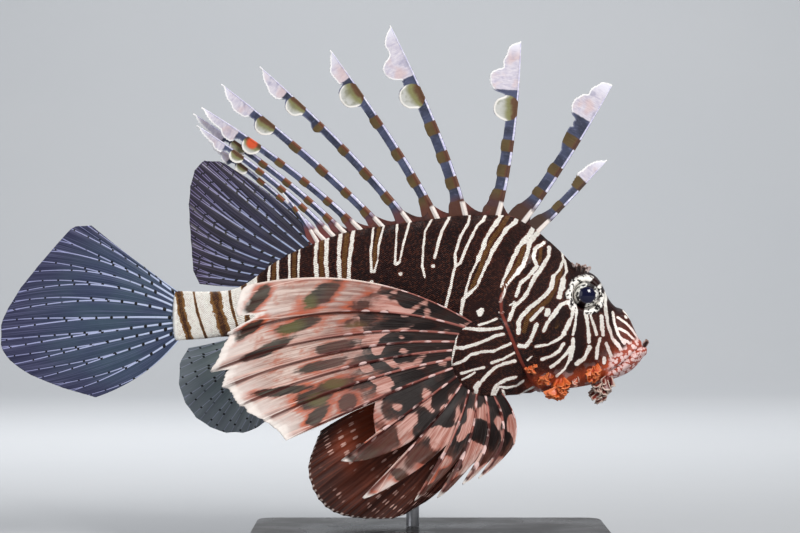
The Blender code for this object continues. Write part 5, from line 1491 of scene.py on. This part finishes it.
# %% Finish of the spines
def spine_colour(n):
    strip, rim, place, down = n.own("strip"), n.own("rim"), n.own("place"), n.own("down")
    waver = n.sway(n.noise(420.0, 2.0), 0.9)
    stripe = n.step(n.own("stripe"), 0.85, 0.6)
    fine = n.noise(1.0, 3.0, 0.6, at=n.at(n.times(down, 0.9), n.times(place, 0.35)))
    slate = n.shade(n.noise(120.0, 2.0), 0.35, 0.65, (44, 48, 68), (70, 76, 104))
    slate = n.shade(fine, 0.5, 0.75, slate, (112, 116, 146), 0.4)
    slate = n.shade(rim, 0.7, 0.2, slate, (128, 132, 160), 0.6)
    pale = n.shade(n.noise(700.0), 0.4, 0.7, (196, 194, 226), (236, 234, 248))
    brown = n.mix(n.noise(200.0), (62, 46, 26), (104, 84, 44))
    brown = n.shade(strip, 0.3, 0.0, brown, (112, 62, 36), 0.6)
    shaft_brown = n.mix(n.own("row_share"), (70, 50, 42), (146, 84, 54))
    brown = n.shade(strip, 0.2, 0.0, brown, shaft_brown)
    coloured = n.shade(n.plus(n.own("brown"), waver), -0.3, 0.3, n.mix(stripe, slate, pale), brown)
    # The lobe: a yellow-green heart that pales to a bright rim, brown where it meets the shaft.
    cloud = n.plus(strip, n.sway(n.noise(170.0, 2.0), 0.5))
    heart = n.shade(cloud, 0.35, 0.8, (132, 130, 86), (198, 198, 194))
    heart = n.shade(n.noise(260.0, 2.0), 0.5, 0.7, heart, (112, 110, 84), 0.5)
    heart = n.shade(n.plus(rim, n.times(waver, 0.5)), 1.3, 0.5, heart, (246, 242, 236))
    heart = n.shade(cloud, 0.32, 0.1, heart, (96, 66, 44))
    coloured = n.shade(n.plus(n.own("heart"), n.times(waver, 0.1)), 1.08, 1.0, coloured, heart)
    # The flag: pinkish white with faint streaks, cooler towards the tip.
    flag = n.shade(fine, 0.25, 0.75, (186, 180, 198), (218, 212, 220))
    flag = n.shade(n.noise(110.0, 2.0), 0.48, 0.66, flag, (206, 176, 172), 0.6)
    flag = n.shade(n.noise(150.0, 2.0), 0.6, 0.72, flag, (138, 136, 164), 0.5)
    flag = n.shade(down, 9.0, 1.0, flag, (228, 226, 238))
    flag = n.mix(n.times(stripe, 0.7), flag, pale)
    coloured = n.shade(n.plus(n.own("flag"), waver), -0.3, 0.3, coloured, flag)
    edge = n.step(n.plus(rim, n.times(waver, 0.5)), 0.9, 0.3)
    coloured = n.mix(n.times(edge, n.step(n.own("flag"), -1.0, 0.5)), coloured, (250, 248, 248))
    coloured = n.shade(n.own("orange"), 1.1, 0.6, coloured, (214, 84, 44))
    foot = n.plus(n.own("foot"), n.times(waver, 2.0))
    root = n.mix(n.own("row_share"), (58, 34, 28), (124, 60, 50))
    coloured = n.shade(foot, 11.0, 6.0, coloured, root, 0.85)
    return n.mix(n.times(n.step(foot, 7.0, 5.5), n.step(strip, 0.12, 0.02)), coloured, (236, 226, 220))


def spine_alpha(n):
    see_through = n.times(n.step(n.own("strip"), 0.05, 0.2), n.step(n.own("flag"), 0.5, -0.5))
    return n.between(see_through, 1.0, 0.93)


def spine_height(n):
    across = n.at(n.times(n.own("down"), 1.5), n.times(n.own("place"), 0.3))
    return n.plus(n.group(wet_grain, {"Scale": 800.0, "Amount": 0.7}),
                  n.times(n.noise(1.0, 2.0, at=across), 1.5))


spine_material = new_material("banded spine and flag skin", spine_colour, fin_rough, height=spine_height,
                              alpha=spine_alpha, bump_depth=0.00015, shine=0.1, **FIN_COAT)


def low_web_colour(n):
    off = n.math("ABSOLUTE", n.minus(n.math("FRACT", n.plus(n.own("ray"), 0.5)), 0.5))
    cloud = n.shade(n.noise(160.0, 2.0), 0.35, 0.65, (50, 24, 20), (92, 44, 36))
    return n.shade(off, 0.1, 0.05, cloud, (230, 216, 208), 0.85)


low_web_material = new_material("spine root skin", low_web_colour, fin_rough, height=fin_height, shine=0.1,
                                **FIN_COAT)
dress(spine_row, spine_material, "dorsal_spines", "spiny_dorsal_fin")
dress(low_web, low_web_material, "dorsal_spines", "spiny_dorsal_fin")

# %% [markdown]
# ## Skin flaps
# Leafy flaps hang under the cheeks and jaw, with a short tentacle over each eye and one by each
# nostril. They break up the head's outline among corals. Each cluster is several small leaves on one
# root, turned to different sides. A leaf is a grid that widens to a ruffled rim, closed by the same
# two faces as the fins. The flaps are orange or maroon with a paler rim. The tentacles over the eyes
# are black and white with a darker one.

# %% Leaves
# Root x and z, drop from the first root to the last, length, width, lean back in degrees, warmth from
# maroon 0 to orange 1, and number of leaves. A warmth of -1 is for the tentacles.
CLUSTERS = [
    (60.5, 80.0, 5.5, 8.0, 8.5, 8, 1.0, 11), (81.5, 81.0, 7.0, 8.0, 7.0, 20, 0.15, 12),
    (75.5, 86.5, 4.0, 6.5, 6.0, 5, 1.0, 7), (53.5, 82.5, 2.0, 6.0, 5.5, 10, 1.0, 5),
    (46.6, 86.5, 1.5, 5.0, 5.0, 15, 0.9, 4), (67.0, 80.0, 1.0, 4.5, 4.0, 5, 0.5, 2),
]
TENTACLE = -1.0
LEAF_ROWS, LEAF_COLUMNS, LEAF_WAVES = 14, 16, 14
LEAF_HALF, LEAF_THINS = 0.26, 0.12


def leaf(name, root, down, across, length, width, phase, warmth):
    """A ruffled leaf from its root along down, spreading along across."""
    piece, u, t = flat_grid(name, LEAF_ROWS, LEAF_COLUMNS)
    down, across = np.array(down) / np.linalg.norm(down), np.array(across) / np.linalg.norm(across)
    face = np.cross(down, across)
    wave = np.sin(u * LEAF_WAVES + phase)
    out = (u - 0.5) * width * (0.22 + 0.95 * t**0.8)
    reach = length * t * (1 - 0.3 * (2 * u - 1) ** 2 - 0.14 * abs(wave))
    ruffle = width * 0.26 * t**1.5 * wave + width * 0.35 * t * t * np.sin(phase * 2 + 2 * u)
    middle = np.array(root) + down * reach[..., None] + across * out[..., None] + face * ruffle[..., None]
    two_faces(piece, middle, LEAF_HALF - LEAF_THINS * t)
    rim = np.minimum(np.minimum(u, 1 - u) * 2, (1 - t))
    give_both(piece, {"share": t, "rim": rim, "warmth": 0 * t + warmth})
    return piece


FLAP_SUNK, BROW_X, BROW_SUNK = 1.5, 69.5, 3.6
flap_draw = np.random.default_rng(11)
leaves = {-1: [], 1: []}
for side in leaves:
    for x, z, drop, length, width, lean, warmth, count in CLUSTERS:
        y = side * (float(flank(x, z)) - FLAP_SUNK)
        for k in range(count):
            turn = math.pi * (k + 0.3) / count + flap_draw.uniform(-0.2, 0.2)
            swing = math.radians(lean) + flap_draw.uniform(-0.25, 0.25)
            down = (-math.sin(swing), side * (0.15 + 0.3 * flap_draw.random()), -math.cos(swing))
            across = (math.cos(turn), side * math.sin(turn), 0.15)
            size = flap_draw.uniform(0.75, 1.0)
            fall = drop * k / (count - 1)
            behind = fall * math.sin(math.radians(lean))
            root = (x - behind + flap_draw.uniform(-1.4, 1.4), y + side * 0.1 * fall, z - fall)
            leaves[side].append(leaf(f"leaf_{side}_{len(leaves[side])}", root, down, across, length * size,
                                     width * size, flap_draw.uniform(0, 6), warmth))
    brow_z = float(section(BROW_X)[0]) - BROW_SUNK
    for k in range(4):
        root, up = (67.5 + 1.6 * k, side * 6.0, brow_z), (-0.5 + 0.3 * k, side * 0.5, 1)
        leaves[side].append(leaf(f"brow_{side}_{k}", root, up, (1, 0.2 * side, 0), 6.0 - 0.8 * k, 1.5,
                                 1.0 + k, TENTACLE))
    leaves[side].append(leaf(f"barbel_{side}", (98.8, side * 3.4, 92.5), (0.35, side * 0.3, 1),
                             (1, 0.4 * side, 0), 4.6, 1.8, 2.0, TENTACLE))


def flap_colour(n):
    cloud = n.noise(240.0, 2.0)
    maroon = n.shade(cloud, 0.35, 0.65, (70, 20, 20), (116, 36, 28))
    orange = n.shade(cloud, 0.35, 0.65, (180, 62, 26), (216, 98, 40))
    orange = n.shade(n.noise(90.0), 0.52, 0.66, orange, (116, 34, 26), 0.6)
    heart = n.shade(n.own("warmth"), 0.0, 1.0, maroon, orange)
    mottled = n.shade(cloud, 0.5, 0.58, (34, 14, 14), (206, 190, 186))
    heart = n.shade(n.own("warmth"), -0.1, -0.9, heart, mottled)
    rim = n.step(n.plus(n.own("rim"), n.sway(cloud, 0.12)), 0.16, 0.04)
    edge = n.shade(n.own("warmth"), 0.3, 1.0, (226, 206, 192), (232, 132, 74))
    edge = n.shade(n.own("warmth"), -0.8, 0.0, (140, 104, 92), edge)
    return n.mix(n.times(rim, 0.75), heart, edge)


def flap_height(n):
    return n.plus(n.noise(500.0, 3.0), n.group(wet_grain, {"Scale": 900.0, "Amount": 0.5}))


flap_material = new_material("leafy skin flap", flap_colour, fin_rough, height=flap_height,
                             bump_depth=0.00018, shine=0.2, Coat_Roughness=0.2)
for side, word in SIDES:
    dress(joined(leaves[side], f"skin_flaps_{word}"), flap_material, "skin_flaps")
print("leaves on each side:", len(leaves[1]))

# %% [markdown]
# ## Eyes
# Each eye is a ball set in its socket, with the cornea standing a little further out over the iris.
# A sphere turned to the gaze is moved point by point for that bulge. The iris is silvery white with
# black flecks, and the dark bar of the face runs on through it. The pupil is deep blue-black. All of
# it lies under a clear coat, which gives the wet highlight.

# %% Eyeballs
GAZE_X, GAZE_Z = 0.06, 0.03
PUPIL, IRIS, CORNEA_RISE, PUPIL_DENT, EYE_PLAY = 3.25, 5.5, 0.55, 0.075, 0.1
BAR_LEAN, BAR_HALF = 0.5, 2.0


def eyeball(name, side):
    centre = np.array([EYE_X, side * EYE_Y, EYE_Z])
    piece = added(bpy.ops.mesh.primitive_uv_sphere_add, name, segments=96, ring_count=64, radius=1.0)
    ball = read_points(piece)
    gaze = np.array([GAZE_X, side, GAZE_Z])
    gaze /= np.linalg.norm(gaze)
    first = np.cross(gaze, [0, 0, 1])
    first /= np.linalg.norm(first)
    second = np.cross(gaze, first)
    from_axis = EYE_RADIUS * np.sqrt(np.clip(1 - ball[:, 2] ** 2, 0, 1))
    front = ball[:, 2] > 0
    rise = CORNEA_RISE * smooth_step(IRIS + 0.4, IRIS - 2.0, from_axis) * front
    dent = PUPIL_DENT * smooth_step(PUPIL + 0.15, PUPIL - 0.25, from_axis) * front
    radius = EYE_RADIUS - EYE_PLAY + rise - dent
    points = centre + radius[:, None] * (ball[:, :1] * first + ball[:, 1:2] * second + ball[:, 2:] * gaze)
    move_points(piece, points)
    face_outwards()
    bpy.ops.object.shade_smooth()
    bar = np.abs((points[:, 0] - EYE_X) - BAR_LEAN * (points[:, 2] - EYE_Z)) / BAR_HALF
    give(piece, {"from_axis": np.where(front, from_axis, 9.0), "bar": bar})
    return piece


def eye_colour(n):
    out = n.own("from_axis")
    silver = n.mix(n.noise(500.0, 2.0), (226, 224, 216), (246, 244, 238))
    silver = n.shade(n.noise(620.0, 2.0, 0.6), 0.5, 0.56, silver, (18, 14, 18))
    dark = n.step(n.plus(n.own("bar"), n.sway(n.noise(450.0), 0.6)), 1.15, 0.85)
    silver = n.mix(dark, silver, (24, 12, 14))
    silver = n.shade(out, IRIS + 0.1, IRIS + 0.5, silver, (60, 34, 30), 0.5)
    silver = n.shade(out, PUPIL + 0.45, PUPIL + 0.15, silver, (52, 48, 62))
    return n.shade(out, PUPIL + 0.12, PUPIL - 0.12, silver, (12, 14, 44))


def eye_rough(n):
    return n.between(n.step(n.own("from_axis"), PUPIL, PUPIL + 0.3), 0.08, 0.3)


eye_material = new_material("wet eye", eye_colour, eye_rough, height=lambda n: n.noise(900.0, 2.0),
                            bump_depth=0.00003, shine=0.7, Coat_Roughness=0.02, Coat_IOR=1.4,
                            Specular_IOR_Level=0.2)
for side, word in SIDES:
    dress(eyeball(f"eyeball_{word}", side), eye_material, "eye", f"eye_{word}")
print("eye radius:", EYE_RADIUS, "mm, pupil", PUPIL, "mm")

# %% [markdown]
# ## Stand and studio
# The base and the rod are right as they are in the solids, so they only get a finish: black lacquer
# over wood, where the grain shows faintly through the gloss, and steel brushed round the rod. The
# backdrop is a matt, very pale paper.

# %% Finish of the stand and the backdrop
def stretched(n, scales):
    return n.node("ShaderNodeMapping", {"Vector": n.place(), "Scale": scales})


def lacquer_grain(n):
    return n.noise(2.0, 4.0, 0.6, at=stretched(n, (14.0, 160.0, 160.0)))


def lacquer_colour(n):
    return n.shade(lacquer_grain(n), 0.35, 0.7, (20, 17, 16), (38, 30, 27))


def lacquer_rough(n):
    worn = n.step(n.noise(30.0, 3.0), 0.35, 0.75)
    return n.between(worn, 0.24, 0.38)


lacquer = new_material("black lacquered wood", lacquer_colour, lacquer_rough, height=lacquer_grain,
                       bump_depth=0.00008, shine=0.02, Coat_Roughness=0.25, Specular_IOR_Level=0.08)


def brushed(n):
    return n.noise(1.0, 3.0, 0.7, at=stretched(n, (60.0, 60.0, 2400.0)))


def steel_colour(n):
    return n.mix(brushed(n), (168, 168, 172), (206, 206, 210))


def steel_rough(n):
    return n.between(brushed(n), 0.24, 0.42)


steel = new_material("brushed steel", steel_colour, steel_rough, metal=1.0, height=brushed,
                     bump_depth=0.00003)
for node, finish in (("stand_base", lacquer), ("stand_rod", steel)):
    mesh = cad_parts[node].data
    mesh.materials.clear()
    mesh.materials.append(finish)


def paper_colour(n):
    return n.mix(n.noise(3.0, 2.0), (164, 167, 171), (169, 171, 174))


def paper_rough(n):
    return n.between(n.noise(40.0, 2.0), 0.85, 0.95)


backdrop.data.materials.append(new_material("pale paper", paper_colour, paper_rough))
print("stand pieces kept from the CAD: stand_base, stand_rod")

# %% [markdown]
# ## Last checks
# The sizes of the CAD model's box and of the dressed model's box are printed side by side. The
# dressed model has to keep to the CAD model's box.

# %% Print the two boxes
dressed_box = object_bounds()
for word, box in (("CAD", cad_box), ("dressed", dressed_box)):
    print(word, "size in mm:", [round((high - low) / MM, 1) for low, high in zip(*box)])
